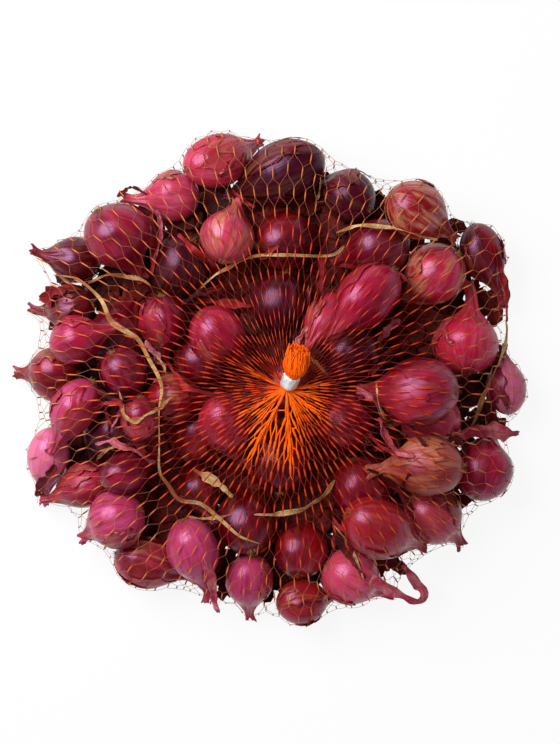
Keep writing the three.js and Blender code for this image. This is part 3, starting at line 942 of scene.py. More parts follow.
        # A flake follows its bulb's tone, painted shade included; a bulb darkened as painted shade
        # gets little tan husk.
        tone = self.shade * 0.5 + rng.uniform(-0.8, 0.5)
        weathering = 0.1 if self.shade < -1 else 0.35
        husk = min(1.0, self.husk + rng.uniform(0.0, weathering))
        values = {
            "dry": np.full(len(points), dry),
            "tone": np.full(len(points), tone),
            "husk": np.full(len(points), husk),
            "growth": growth + 1.3,
        }
        maker.add(points, faces[:, ::-1], **values)

    def build(self, flakes: int) -> bpy.types.Object:
        """Makes the whole onion.

        Args:
            flakes: Torn pieces of outer skin on it.

        Returns:
            The finished piece.
        """
        maker = MeshMaker()
        self.add_bulb(maker)
        for _ in range(flakes):
            self.add_flake(maker)
        return maker.build(f"{self.name}_bulb", MATERIALS[self.tone.value])


@dataclass
class Pile:
    """All the onions, with what the leaves and the net need to lie on them."""

    onions: list[Onion] = field(default_factory=list)
    hidden_below: float = 24.0
    hidden_within: float = 85.0

    @classmethod
    def from_frame(cls) -> "Pile":
        """Reads every onion from the frame, in the order of their names."""
        slots = {part["node"]: part["material_slot"] for part in frame["record"]["subparts"]}
        names = sorted(name for name in frame["nodes"] if name.startswith("onion"))
        return cls([Onion.from_frame(name, slots[name], 11 + i) for i, name in enumerate(names)])

    def balls(self) -> Array:
        """Every ball of every onion."""
        return np.concatenate([onion.balls() for onion in self.onions])

    def build(self) -> list[bpy.types.Object]:
        """Makes every onion; those low in the pile are plainer."""
        pieces = []
        for onion in self.onions:
            middle = onion.root + onion.axis * onion.body / 2
            out = np.hypot(middle[0], middle[1])
            buried = middle[2] < self.hidden_below and out < self.hidden_within
            if buried:
                onion.around, onion.along = 40, 34
            piece = onion.build(0 if buried else 1 + onion.seed % 3)
            pieces.append(place(piece, onion.tone.value, onion.name))
        return pieces


@dataclass
class Ground:
    """Finds the surface of what is already lying in the bag."""

    tree: BVHTree
    search: float = 4.0
    sky: float = 200.0
    core_reach: float = 88.0
    core_height: float = 16.0

    @classmethod
    def over(cls, pieces: list[bpy.types.Object]) -> "Ground":
        """Makes one search tree of several pieces."""
        points: list[Vector] = []
        faces: list[tuple[int, ...]] = []
        for piece in pieces:
            start = len(points)
            points += [v.co.copy() for v in piece.data.vertices]
            faces += [tuple(i + start for i in p.vertices) for p in piece.data.polygons]
        return cls(BVHTree.FromPolygons(points, faces))

    def height(self, x: float, y: float) -> float | None:
        """Height of the top surface over a point, in millimetres, if there is one."""
        above = Vector((x * MM, y * MM, self.sky * MM))
        hit = self.tree.ray_cast(above, Vector((0, 0, -1)))
        return None if hit[0] is None else hit[0].z / MM

    def clear(self, points: Array, gap: float) -> Array:
        """Moves points that are in or too near a piece outwards, past its surface.

        Args:
            points: The points, in millimetres.
            gap: How far off the surface they must be.

        Returns:
            The moved points.
        """
        moved = points.copy()
        inner = points * np.array([1, 1, 0])
        out = np.maximum(np.linalg.norm(inner, axis=-1, keepdims=True), 1)
        inner *= np.minimum(1, self.core_reach / out)
        inner[:, 2] = np.minimum(self.core_height, points[:, 2] - 0.5)
        ways = unit(points - inner)
        for i, (point, way) in enumerate(zip(points, ways)):
            start = Vector((point + way * self.search) * MM)
            where, *_ = self.tree.ray_cast(start, Vector(-way), (self.search + gap) * MM)
            if where is not None:
                moved[i] = np.array(where) / MM + way * gap
        return moved


# ---- Loose leaves and scraps ------------------------------------------------------------


@dataclass
class Ribbon:
    """A dried leaf or a torn neck, laid over the onions."""

    way: list[tuple[float, float]]
    width: float
    paper: Paper
    cup: float = 0.35
    twist: float = 0.5
    point: float = 0.25
    lift: float = 0.7
    seed: int = 1
    thickness: float = 0.28
    lowest: float = 2.0
    held_above: float = 6.0
    line: Array = field(init=False)

    def lay(self, ground: Ground) -> None:
        """Lays the ribbon's middle line on the pile, straight across the gaps."""
        way = np.array(self.way, float)
        known = np.linspace(0, 1, len(way))
        steps = max(14, 5 * len(way))
        share = np.linspace(0, 1, steps)
        x = smooth_curve(share, known, way[:, 0])
        y = smooth_curve(share, known, way[:, 1])
        found = [ground.height(a, b) for a, b in zip(x, y)]
        held = [i for i, z in enumerate(found) if z is not None and z > self.held_above]
        rest = np.full(steps, self.lowest)
        for i in held:
            rest[i] = found[i] + self.lift
        z = rest.copy()
        for end in (0, steps - 1):
            inner = min(held, key=lambda i: abs(i - end)) if held else end
            away = math.hypot(x[end] - x[inner], y[end] - y[inner])
            z[end] = rest[inner] - 0.3 * away
        line = np.linspace(z[0], z[-1], steps)
        z = np.maximum(line, rest)
        for _ in range(200):
            z[1:-1] = np.maximum(rest[1:-1], (z[:-2] + z[2:]) / 2)
        self.line = np.stack([x, y, z], axis=-1)

    def add_to(self, maker: MeshMaker) -> None:
        """Adds the ribbon: a cupped, twisting strip that narrows at its ends."""
        rng = np.random.default_rng(self.seed)
        steps = len(self.line)
        share = np.linspace(0, 1, steps)
        tangent = unit(np.gradient(self.line, axis=0))
        out = unit(self.line * np.array([0.35, 0.35, 0]) + UP * 45)
        across = unit(np.cross(tangent, out))
        normal = np.cross(across, tangent)
        wave = rng.uniform(0, 2 * math.pi, 3)
        roll = self.twist * (np.sin(share * 7 + wave[0]) + 0.5 * np.sin(share * 17 + wave[1]))
        uneven = 0.3 * np.sin(share * 11 + wave[2]) + 0.16 * np.sin(share * 29 + wave[0])
        width = self.width * (1 + uneven)
        width = width * (self.point + (1 - self.point) * np.sin(math.pi * share) ** 0.6)
        u = np.linspace(-1, 1, 7)
        cos, sin = np.cos(roll)[:, None, None], np.sin(roll)[:, None, None]
        level = across[:, None] * cos + normal[:, None] * sin
        above = normal[:, None] * cos - across[:, None] * sin
        half = (width / 2)[:, None, None]
        curl = self.cup * (u**2)[None, :, None]
        sheet = self.line[:, None] + level * half * u[None, :, None] + above * half * curl
        points, faces = slab(sheet, self.thickness)
        turn, run = np.meshgrid(u, share * steps * 0.2)
        growth = np.stack([turn, 0 * turn, run + self.seed * 2.3], axis=-1).reshape(-1, 3)
        maker.add(points, faces, growth=np.tile(growth, (2, 1)))


TAN_LEFT = [
    Ribbon(
        [(-104, 50), (-97, 49), (-91, 47), (-81, 38), (-76, 28), (-69, 23), (-63, 19), (-58, 10)]
        + [(-52, -2), (-53, -14), (-53, -28), (-53, -42), (-49, -49), (-44, -56), (-34, -58)]
        + [(-24, -66), (-16, -73), (-6, -77)],
        2.0,
        Paper.TAN,
        seed=3,
    ),
    Ribbon(
        [(-88, 46), (-81, 49), (-77, 50), (-70, 49), (-63, 48), (-58, 45)],
        1.8,
        Paper.TAN,
        seed=4,
    ),
]
TAN_TOP = [
    Ribbon(
        [(-39, 38), (-34, 44), (-27, 50), (-21, 53), (-16, 56), (-10, 58), (-4, 59), (8, 59)]
        + [(27, 59), (34, 64)],
        2.0,
        Paper.TAN,
        seed=5,
    ),
    Ribbon(
        [(30, 70), (36, 72), (41, 73), (50, 72), (57, 71), (64, 69), (71, 67), (77, 66)],
        2.4,
        Paper.TAN,
        seed=6,
    ),
]
TAN_SCRAPS = [
    Ribbon([(-72, -5), (-70, -11), (-69, -16), (-64, -19), (-59, -16)], 2.0, Paper.TAN, seed=7),
    Ribbon([(-61, -17), (-53, -13), (-50, -10), (-46, -7)], 1.8, Paper.TAN, seed=8),
    Ribbon([(-38, -42), (-33, -45), (-27, -48), (-23, -51), (-19, -55)], 4.2, Paper.TAN, seed=9),
    Ribbon([(-51, -31), (-50, -36), (-50, -42)], 6.5, Paper.TAN, cup=0.2, point=0.6, seed=10),
    Ribbon(
        [(-9, -63), (1, -63), (12, -61), (18, -58), (24, -54), (29, -47)], 2.4, Paper.TAN, seed=11
    ),
    Ribbon([(12, -62), (19, -67), (24, -72)], 2.0, Paper.TAN, seed=12),
    Ribbon(
        [(111, 29), (111, 24), (110, 18), (107, 9), (103, 0), (99, -9), (97, -16), (94, -23)],
        2.2,
        Paper.TAN,
        seed=13,
    ),
    Ribbon([(93, 1), (93, -4), (92, -9), (92, -15)], 1.6, Paper.TAN, seed=14),
]
RED_RIBBONS = [
    Ribbon([(-58, 79), (-57, 70), (-56, 60), (-57, 50)], 4.5, Paper.RED, cup=0.6, seed=15),
    Ribbon([(-45, 69), (-38, 62), (-31, 56), (-25, 49)], 3.6, Paper.RED, cup=0.6, seed=16),
    Ribbon([(-50, 9), (-46, 3), (-41, -3), (-30, -6), (-18, -9)], 2.6, Paper.RED, seed=17),
    Ribbon([(-98, 43), (-104, 40), (-111, 39)], 8.0, Paper.RED, cup=0.5, seed=18),
    Ribbon([(104, 64), (108, 50), (110, 38), (111, 28)], 4.2, Paper.RED, cup=0.6, seed=19),
]
PINK_RIBBONS = [
    Ribbon(
        [(46, -93), (54, -98), (62, -102), (68, -104), (70, -101), (67, -95), (62, -88)],
        5.4,
        Paper.PINK,
        cup=0.5,
        twist=0.3,
        point=0.7,
        seed=20,
    ),
    Ribbon([(-32, -84), (-29, -96), (-26, -110)], 4.5, Paper.PINK, cup=0.6, seed=21),
    Ribbon([(60, 29), (54, 24), (49, 19)], 3.6, Paper.PINK, cup=0.6, seed=22),
    Ribbon([(84, -25), (97, -24), (107, -25), (117, -25)], 7.5, Paper.PINK, cup=0.5, seed=23),
]
DARK_RIBBONS = [
    Ribbon([(-60, 88), (-66, 91), (-70, 90), (-74, 87)], 2.6, Paper.DARK, twist=1.0, seed=24),
    Ribbon([(-103, -40), (-109, -49), (-113, -55)], 5.0, Paper.DARK, cup=0.6, seed=25),
]


@dataclass
class Clutter:
    """Short dry necks and torn strips of skin, caught in the dips between the bulbs."""

    count: int = 76
    reach: float = 94.0
    tries: int = 24
    seed: int = 41

    def mean_height(self, ground: Ground, points: Array) -> float:
        """Mean height of the pile over some points, in millimetres."""
        found = [ground.height(x, y) for x, y in points]
        return float(np.mean([z if z is not None else 0.0 for z in found]))

    def strip(self, ground: Ground, rng: np.random.Generator) -> tuple[float, Array]:
        """Tries one place for a strip.

        Args:
            ground: The onions it would lie on.
            rng: Where its numbers come from.

        Returns:
            How far it would lie above the pile round it, and its way.
        """
        turn = rng.uniform(0, 2 * math.pi)
        out = self.reach * math.sqrt(rng.uniform(0.05, 1.0))
        heading = turn + rng.normal(0.0, 0.9)
        bend = rng.uniform(-0.9, 0.9)
        share = np.linspace(-0.5, 0.5, 4) * rng.uniform(13.0, 32.0)
        angle = heading + bend * share / 30
        middle = out * np.array([math.cos(turn), math.sin(turn)])
        way = middle + share[:, None] * np.stack([np.cos(angle), np.sin(angle)], axis=-1)
        round_it = np.linspace(0, 2 * math.pi, 8, endpoint=False)
        near = middle + 13.0 * np.stack([np.cos(round_it), np.sin(round_it)], axis=-1)
        return self.mean_height(ground, way) - self.mean_height(ground, near), way

    def ribbons(self, ground: Ground) -> list[Ribbon]:
        """Chooses the places and makes the strips' ribbons.

        Args:
            ground: The onions they lie on.

        Returns:
            The ribbons, not yet laid.
        """
        rng = np.random.default_rng(self.seed)
        papers = [Paper.RED, Paper.DARK, Paper.PINK, Paper.RED, Paper.DARK, Paper.TAN]
        found = []
        for i in range(self.count):
            places = [self.strip(ground, rng) for _ in range(self.tries)]
            _, way = min(places, key=lambda place: place[0])
            paper = papers[i % len(papers)]
            width = rng.uniform(1.0, 1.7) if paper is Paper.TAN else rng.uniform(1.5, 4.0)
            cup = rng.uniform(0.3, 0.8)
            twist = rng.uniform(0.4, 1.1)
            line = [tuple(point) for point in way]
            found.append(Ribbon(line, width, paper, cup=cup, twist=twist, seed=100 + i))
        return found


@dataclass
class Leaves:
    """Every ribbon that lies on the onions, in a few pieces by what they are made of."""

    netted_within: float = 104.0
    groups: dict[str, list[Ribbon]] = field(
        default_factory=lambda: {
            "dry_leaf_left_ribbon": TAN_LEFT,
            "dry_leaf_top_ribbon": TAN_TOP,
            "tan_scraps": TAN_SCRAPS,
            "red_ribbons": RED_RIBBONS,
            "pink_ribbons": PINK_RIBBONS,
            "dark_ribbons": DARK_RIBBONS,
        }
    )

    def build(self, ground: Ground) -> list[bpy.types.Object]:
        """Lays and makes the ribbons.

        Args:
            ground: The onions they lie on.

        Returns:
            The pieces.
        """
        stands_for = {
            "dry_leaf_left_ribbon": ["dry_leaf_left"],
            "dry_leaf_top_ribbon": ["dry_leaf_top"],
        }
        homes = {
            Paper.TAN: "tan_scraps",
            Paper.RED: "red_ribbons",
            Paper.PINK: "pink_ribbons",
            Paper.DARK: "dark_ribbons",
        }
        for ribbon in Clutter().ribbons(ground):
            self.groups[homes[ribbon.paper]].append(ribbon)
        pieces = []
        for name, ribbons in self.groups.items():
            maker = MeshMaker()
            for ribbon in ribbons:
                ribbon.lay(ground)
                ribbon.add_to(maker)
            piece = maker.build(name, MATERIALS[ribbons[0].paper.value.name])
            pieces.append(place(piece, "dry_leaf", *stands_for.get(name, [])))
        return pieces

    def balls(self) -> Array:
        """Small balls along the leaves that the net lies over."""
        lines = [ribbon.line for ribbons in self.groups.values() for ribbon in ribbons]
        points = np.concatenate(lines)
        points = points[np.hypot(points[:, 0], points[:, 1]) < self.netted_within]
        return np.column_stack([points, np.full(len(points), 0.9)])


# ---- Geometry Nodes ---------------------------------------------------------------------


@dataclass
class TreeBench:
    """Builds one Geometry Nodes tree and runs it on an object."""

    tree: bpy.types.NodeTree
    given: bpy.types.Node

    @classmethod
    def start(cls, name: str, takes: dict[str, str]) -> "TreeBench":
        """Makes a tree with a Geometry input and output.

        Args:
            name: The tree's name.
            takes: Further inputs, each Float, Int or Material.

        Returns:
            The bench.
        """
        tree = bpy.data.node_groups.new(name, "GeometryNodeTree")
        tree.interface.new_socket("Geometry", in_out="INPUT", socket_type="NodeSocketGeometry")
        for key, kind in takes.items():
            tree.interface.new_socket(key, in_out="INPUT", socket_type=f"NodeSocket{kind}")
        tree.interface.new_socket("Geometry", in_out="OUTPUT", socket_type="NodeSocketGeometry")
        return cls(tree, tree.nodes.new("NodeGroupInput"))

    def node(
        self, kind: str, options: dict[str, object] | None = None, **links: object
    ) -> bpy.types.Node:
        """Adds a node, sets its options and feeds its inputs."""
        node = self.tree.nodes.new(kind)
        for key, value in (options or {}).items():
            setattr(node, key, value)
        feed(self.tree, node, links)
        return node

    def finish(self, geometry: bpy.types.NodeSocket) -> bpy.types.NodeTree:
        """Ends the tree in smooth shading, Realize Instances and Set Material."""
        smooth = self.node("GeometryNodeSetShadeSmooth", Geometry=geometry)
        real = self.node("GeometryNodeRealizeInstances", Geometry=smooth.outputs[0])
        material = self.given.outputs["Material"]
        dressed = self.node("GeometryNodeSetMaterial", Geometry=real.outputs[0], Material=material)
        ending = self.tree.nodes.new("NodeGroupOutput")
        self.tree.links.new(dressed.outputs[0], ending.inputs[0])
        return self.tree


def grow(
    tree: bpy.types.NodeTree, mesh: bpy.types.Mesh, name: str, **settings: object
) -> bpy.types.Object:
    """Runs a Geometry Nodes tree on a mesh and keeps the result as a plain mesh.

    Args:
        tree: The tree.
        mesh: What it starts from.
        name: The piece's name.
        **settings: The tree's inputs, with _ for a space.

    Returns:
        The finished object.
    """
    source = new_object(f"{name}_source", mesh)
    modifier = source.modifiers.new("grow", "NODES")
    modifier.node_group = tree
    sockets = [item for item in tree.interface.items_tree if item.in_out == "INPUT"]
    named = {item.name: item.identifier for item in sockets}
    for key, value in settings.items():
        modifier[named[key.replace("_", " ")]] = value
    depsgraph = bpy.context.evaluated_depsgraph_get()
    result = bpy.data.meshes.new_from_object(source.evaluated_get(depsgraph))
    source.modifiers.clear()
    bpy.data.objects.remove(source)
    result.name = name
    return new_object(name, result)


def cord_tree() -> bpy.types.NodeTree:
    """Turns every line of a mesh into a round cord as thick as its points say.

    Returns:
        A tree with the inputs Sides, Thickness and Material.
    """
    bench = TreeBench.start("cords", {"Sides": "Int", "Thickness": "Float", "Material": "Material"})
    given = bench.given.outputs
    curve = bench.node("GeometryNodeMeshToCurve", Mesh=given["Geometry"])
    profile = bench.node("GeometryNodeCurvePrimitiveCircle", Resolution=given["Sides"], Radius=1.0)
    half_width = bench.node(
        "GeometryNodeInputNamedAttribute", {"data_type": "FLOAT"}, Name="half_width"
    )
    scaled = bench.node("ShaderNodeMath", {"operation": "MULTIPLY"})
    bench.tree.links.new(half_width.outputs[0], scaled.inputs[0])
    bench.tree.links.new(given["Thickness"], scaled.inputs[1])
    cords = bench.node(
        "GeometryNodeCurveToMesh",
        Curve=curve.outputs[0],
        Profile_Curve=profile.outputs[0],
        Scale=scaled.outputs[0],
        Fill_Caps=True,
    )
    return bench.finish(cords.outputs[0])


def tuft_tree() -> bpy.types.NodeTree:
    """Grows thin curved roots out of the faces of small discs.

    Returns:
        A tree with the inputs Density, Length, Thickness, Seed and Material.
    """
    kinds = {"Density": "Float", "Length": "Float", "Thickness": "Float", "Seed": "Int"}
    bench = TreeBench.start("root_tufts", {**kinds, "Material": "Material"})
    given = bench.given.outputs
    spread = bench.node(
        "GeometryNodeDistributePointsOnFaces",
        Mesh=given["Geometry"],
        Density=given["Density"],
        Seed=given["Seed"],
    )
    line = bench.node("GeometryNodeCurveQuadraticBezier", Resolution=5)
    bend = {"Start": (0, 0, -0.1), "Middle": (0.05, 0, 0.6), "End": (0.55, 0.1, 1.0)}
    feed(bench.tree, line, bend)
    profile = bench.node("GeometryNodeCurvePrimitiveCircle", Resolution=4)
    bench.tree.links.new(given["Thickness"], profile.inputs["Radius"])
    taper = bench.node("GeometryNodeSplineParameter")
    thin = bench.node("ShaderNodeMath", {"operation": "SUBTRACT"})
    thin.inputs[0].default_value = 1.15
    bench.tree.links.new(taper.outputs["Factor"], thin.inputs[1])
    hair = bench.node(
        "GeometryNodeCurveToMesh",
        Curve=line.outputs[0],
        Profile_Curve=profile.outputs[0],
        Scale=thin.outputs[0],
        Fill_Caps=True,
    )
    turn = bench.node("FunctionNodeRandomValue", {"data_type": "FLOAT_VECTOR"})
    turn.inputs[0].default_value = (-0.75, -0.75, -3.14)
    turn.inputs[1].default_value = (0.75, 0.75, 3.14)
    bench.tree.links.new(given["Seed"], turn.inputs["Seed"])
    euler = bench.node("FunctionNodeEulerToRotation")
    bench.tree.links.new(turn.outputs[0], euler.inputs[0])
    aim = bench.node(
        "FunctionNodeRotateRotation",
        {"rotation_space": "LOCAL"},
        Rotation=spread.outputs["Rotation"],
        Rotate_By=euler.outputs[0],
    )
    size = bench.node("FunctionNodeRandomValue", {"data_type": "FLOAT"})
    size.inputs[2].default_value = 0.35
    size.inputs[3].default_value = 1.0
    length = bench.node("ShaderNodeMath", {"operation": "MULTIPLY"})
    bench.tree.links.new(size.outputs[1], length.inputs[0])
    bench.tree.links.new(given["Length"], length.inputs[1])
    planted = bench.node(
        "GeometryNodeInstanceOnPoints",
        Points=spread.outputs["Points"],
        Instance=hair.outputs[0],
        Rotation=aim.outputs[0],
        Scale=length.outputs[0],
    )
    return bench.finish(planted.outputs[0])


def litter_tree() -> bpy.types.NodeTree:
    """Scatters a scrap of skin over a sheet.

    Returns:
        A tree with the inputs Scrap, Density, Smallest, Largest, Seed and Material.
    """
    kinds = {"Scrap": "Object", "Density": "Float", "Smallest": "Float", "Largest": "Float"}
    bench = TreeBench.start("loose_scraps", {**kinds, "Seed": "Int", "Material": "Material"})
    given = bench.given.outputs
    spread = bench.node(
        "GeometryNodeDistributePointsOnFaces",
        Mesh=given["Geometry"],
        Density=given["Density"],
        Seed=given["Seed"],
    )
    scrap = bench.node("GeometryNodeObjectInfo", Object=given["Scrap"])
    turn = bench.node("FunctionNodeRandomValue", {"data_type": "FLOAT_VECTOR"})
    turn.inputs[0].default_value = (-0.16, -0.16, -3.14)
    turn.inputs[1].default_value = (0.16, 0.16, 3.14)
    bench.tree.links.new(given["Seed"], turn.inputs["Seed"])
    euler = bench.node("FunctionNodeEulerToRotation")
    bench.tree.links.new(turn.outputs[0], euler.inputs[0])
    size = bench.node("FunctionNodeRandomValue", {"data_type": "FLOAT"})
    bench.tree.links.new(given["Smallest"], size.inputs[2])
    bench.tree.links.new(given["Largest"], size.inputs[3])
    bench.tree.links.new(given["Seed"], size.inputs["Seed"])
    planted = bench.node(
        "GeometryNodeInstanceOnPoints",
        Points=spread.outputs["Points"],
        Instance=scrap.outputs["Geometry"],
        Rotation=euler.outputs[0],
        Scale=size.outputs[1],
    )
    return bench.finish(planted.outputs[0])


def disc_points(centre: Array, axis: Array, radius: float, sides: int) -> Array:
    """A ring of points round a centre, square to an axis."""
    across = unit(np.cross(axis, np.array([0.31, 0.17, 0.93])))
    side = np.cross(axis, across)
    turn = np.linspace(0, 2 * math.pi, sides, endpoint=False)[:, None]
    return centre + radius * (np.cos(turn) * across + np.sin(turn) * side)


@dataclass
class RootTufts:
    """The dry rootlets on the bulbs' root plates."""

    density: float = 1.8e6
    length: float = 2.6
    thickness: float = 0.045
    plate_share: float = 0.085

    def build(self, pile: Pile) -> bpy.types.Object:
        """Grows a tuft on the root plate of every bulb."""
        maker = MeshMaker()
        for onion in pile.onions:
            ring = disc_points(onion.root, -onion.axis, self.plate_share * onion.girth, 8)
            faces = np.array([[0, 1, 2, 3], [0, 3, 4, 7], [4, 5, 6, 7]])
            maker.add(ring, faces)
        mesh = bare_mesh("root_plates", np.concatenate(maker.points), [], maker.faces)
        piece = grow(
            tuft_tree(),
            mesh,
            "root_tufts",
            Density=self.density,
            Length=self.length * MM,
            Thickness=self.thickness,
            Seed=5,
            Material=MATERIALS[Paper.TAN.value.name],
        )
        return place(piece, "dry_leaf")


@dataclass(frozen=True)
class Bed:
    """One level at which loose skins lie: a ring, or small squares round some spots."""

    height: float
    inner: float
    outer: float
    density: float
    smallest: float
    largest: float
    seed: int
    spots: tuple[tuple[float, float, float], ...] = ()


# Where the floor would show between the outer bulbs: x, y and half size, in millimetres.
# Dark scraps are laid there as painted shade for the gaps.
RIM_GAPS = (
    (100, 37, 8),
    (101, -16, 7),
    (-24, -96, 6),
    (-92, -35, 7),
    (1, -97, 6),
    (98, 3, 8),
    (84, 69, 5),
    (-102, 27, 1.5),
    (-101, 51, 1.5),
    (-105, 51, 1.5),
    (-105, 27, 1.5),
    (-89, 45, 2),
    (-57, 79, 4),
    (84, 37, 6),
    (79, 65, 6),
    (-34, 90, 5),
    (20, -93, 5),
    (54, -84, 7),
    (88, -53, 6),
    (-59, -50, 6),
    (-60, -71, 5),
    (97, 1, 3),
    (88, 38, 3),
    (90, 48, 4),
    (91, 49, 2),
    (52, -90, 3),
    (52, 87, 3),
    (-5, -101, 3),
    (-93, -40, 3),
)


@dataclass
class LitterAndPaintedShade:
    """Loose scraps of dark skin that have fallen to the bottom of the bag, laid thick enough to be
    painted shade in the gaps between the bulbs.
    """

    beds: tuple[Bed, ...] = (
        Bed(7.0, 24.0, 84.0, 17000.0, 0.9, 1.9, 8),
        Bed(3.6, 84.0, 99.0, 34000.0, 0.6, 1.1, 9),
        Bed(10.5, 22.0, 92.0, 14000.0, 0.7, 1.5, 10),
        Bed(17.5, 1.0, 30.0, 40000.0, 0.8, 1.5, 11),
        Bed(3.2, 0.0, 0.0, 60000.0, 0.55, 0.85, 12, RIM_GAPS),
    )

    def scrap(self) -> bpy.types.Object:
        """One curled scrap of skin, 16 mm long."""
        u, v = np.meshgrid(np.linspace(-1, 1, 5), np.linspace(-1, 1, 5))
        reach = 1 - 0.3 * np.hypot(u, v)
        x = 8.0 * u * reach * (1 + 0.2 * np.sin(3 * v))
        y = 6.0 * v * reach * (1 + 0.2 * np.cos(4 * u))
        z = 0.9 * (u**2 + 0.5 * v**2) + 0.35 * np.sin(3 * u + 2 * v)
        points, faces = slab(np.stack([x, y, z], axis=-1), FLAKE_THICKNESS)
        maker = MeshMaker()
        growth = np.stack([u, v * 0.2, v], axis=-1).reshape(-1, 3)
        maker.add(points, faces[:, ::-1], growth=np.tile(growth, (2, 1)))
        return maker.build("scrap", MATERIALS[Paper.LITTER.value.name])

    def patches(self, bed: Bed) -> bpy.types.Mesh:
        """Flat squares at the bed's spots, for the scraps to be scattered over."""
        spots = np.array(bed.spots, float)
        corners = np.array([(-1, -1), (1, -1), (1, 1), (-1, 1)])
        flat = spots[:, None, :2] + corners * spots[:, None, 2:]
        points = np.dstack([flat, np.full(flat.shape[:2], bed.height)]).reshape(-1, 3)
        return bare_mesh("bed", points, [], np.arange(len(points)).reshape(-1, 4).tolist())

    def ring(self, bed: Bed) -> bpy.types.Mesh:
        """A flat ring that the scraps are scattered over."""
        sides = 24
        points = [
            disc_points(UP * bed.height, UP, bed.outer, sides),
            disc_points(UP * bed.height, UP, bed.inner, sides),
        ]
        index = np.arange(sides)
        after = np.roll(index, -1)
        faces = np.stack([index, after, after + sides, index + sides], -1)
        return bare_mesh("bed", np.concatenate(points), [], faces.tolist())

    def build(self) -> list[bpy.types.Object]:
        """Scatters the scraps, level by level.

        Returns:
            One piece for each level.
        """
        scrap = self.scrap()
        tree = litter_tree()
        pieces = []
        for i, bed in enumerate(self.beds, start=1):
            piece = grow(
                tree,
                self.patches(bed) if bed.spots else self.ring(bed),
                f"loose_skins_{i}",
                Scrap=scrap,
                Density=bed.density,
                Smallest=bed.smallest,
                Largest=bed.largest,
                Seed=bed.seed,
                Material=MATERIALS[Paper.LITTER.value.name],
            )
            pieces.append(place(piece, "skin_purple"))
        bpy.data.objects.remove(scrap)
        return pieces


# ---- Net --------------------------------------------------------------------------------


@dataclass
class Gather:
    """Where the net is drawn together into a clip."""

    clip: Array
    way: Array
    neck: float
    radius: float = 2.1

    @classmethod
    def from_frame(cls, node: str, upward: bool, neck: float, radius: float = 2.1) -> "Gather":
        """Reads a clip's place and direction from its CAD node.

        Args:
            node: The clip's node.
            upward: Whether the net leaves it upwards, or downwards.
            neck: From the clip's middle back to where the net spreads.
            radius: Of the net inside the clip.

        Returns:
            The gather, with its way pointing from the pile to the tail.
        """
        points = node_points(node)
        centre = (points.min(axis=0) + points.max(axis=0)) / 2
        way = odd_way(points)
        if (way[2] > 0) != upward:
            way = -way
        return cls(centre, way, neck, radius)

    def spread(self) -> Array:
        """The point where the net starts to spread."""
        return self.clip - self.way * self.neck

    def ring(self, centre: Array, radius: float, columns: int) -> Array:
        """A ring of points square to the gather, in step with the net's columns."""
        upright = self.way if self.way[2] > 0 else -self.way
        across = unit(np.array([1.0, 0, 0]) - upright * upright[0])
        side = np.cross(upright, across)
        turn = np.linspace(0, 2 * math.pi, columns, endpoint=False)[:, None]
        return centre + radius * (np.cos(turn) * across + np.sin(turn) * side)


@dataclass(frozen=True)
class Tail:
    """The cut end of the net that stands out of a clip and leans over.

    Its length is measured from the clip, and its flare is the radius that it spreads to.
    """

    name: str
    gather: Gather
    bend: tuple[float, float, float]
    length: float
    flare: float
    count: int
    lowest: float = 0.4
    half_width: float = 0.32

    def strands(self) -> Array:
        """The tail's strands.

        Returns:
            Their points, as strands by points by 3.
        """
        gather, count = self.gather, self.count
        rng = np.random.default_rng(count)
        share = np.linspace(0, 1, 9)
        turn = rng.uniform(0, 2 * math.pi, count)[:, None]
        spot = np.sqrt(rng.uniform(0, 1, count))[:, None]
        reach = self.length * rng.uniform(0.72, 1.06, count)[:, None]
        wave = rng.uniform(0, 2 * math.pi, (count, 2))
        wide = gather.radius + (self.flare - gather.radius) * ease(0.0, 0.75, share)
        radius = spot * wide * (1 - 0.12 * ease(0.75, 1.0, share))
        angle = turn + 0.22 * np.sin(share * 4 + wave[:, :1])
        across = unit(np.cross(UP, gather.way) + np.array([0.2, 0.1, 0]))
        across = unit(across - gather.way * (across @ gather.way))
        side = np.cross(gather.way, across)
        straight = gather.way[None, None] * (reach * share)[..., None]
        lean = unit(np.array(self.bend))[None, None] * (reach * share**2 * 0.55)[..., None]
        neck = np.linspace(0, 1, 3)[None, :, None] * gather.way * gather.neck
        base = gather.clip + straight * (1 - 0.35 * share[None, :, None]) + lean
        ripple = 0.16 * np.sin(share * 11 + wave[:, 1:]) * share
        spread = (radius * np.cos(angle) + ripple)[..., None] * across
        spread = spread + (radius * np.sin(angle) - ripple)[..., None] * side
        inside = gather.spread() + neck + spread[:, :1]
        points = np.concatenate([inside[:, :2], base + spread], axis=1)
        points[..., 2] = np.maximum(points[..., 2], self.lowest)
        return points


@dataclass(frozen=True)
class Rope:
    """Strands that cling together where they leave the top clip."""

    angle: float
    reach: float
    pull: float


ROPES = (
    Rope(4, 22, 0.55),
    Rope(25, 14, 0.35),
    Rope(46, 22, 0.55),
    Rope(73, 15, 0.35),
    Rope(97, 12, 0.30),
    Rope(121, 17, 0.40),
    Rope(155, 30, 0.62),
    Rope(178, 15, 0.35),
    Rope(196, 13, 0.30),
    Rope(213, 27, 0.60),
    Rope(228, 18, 0.40),
    Rope(246, 44, 0.86),
    Rope(277, 40, 0.86),
    Rope(300, 14, 0.35),
    Rope(322, 22, 0.55),
    Rope(342, 20, 0.5),
)


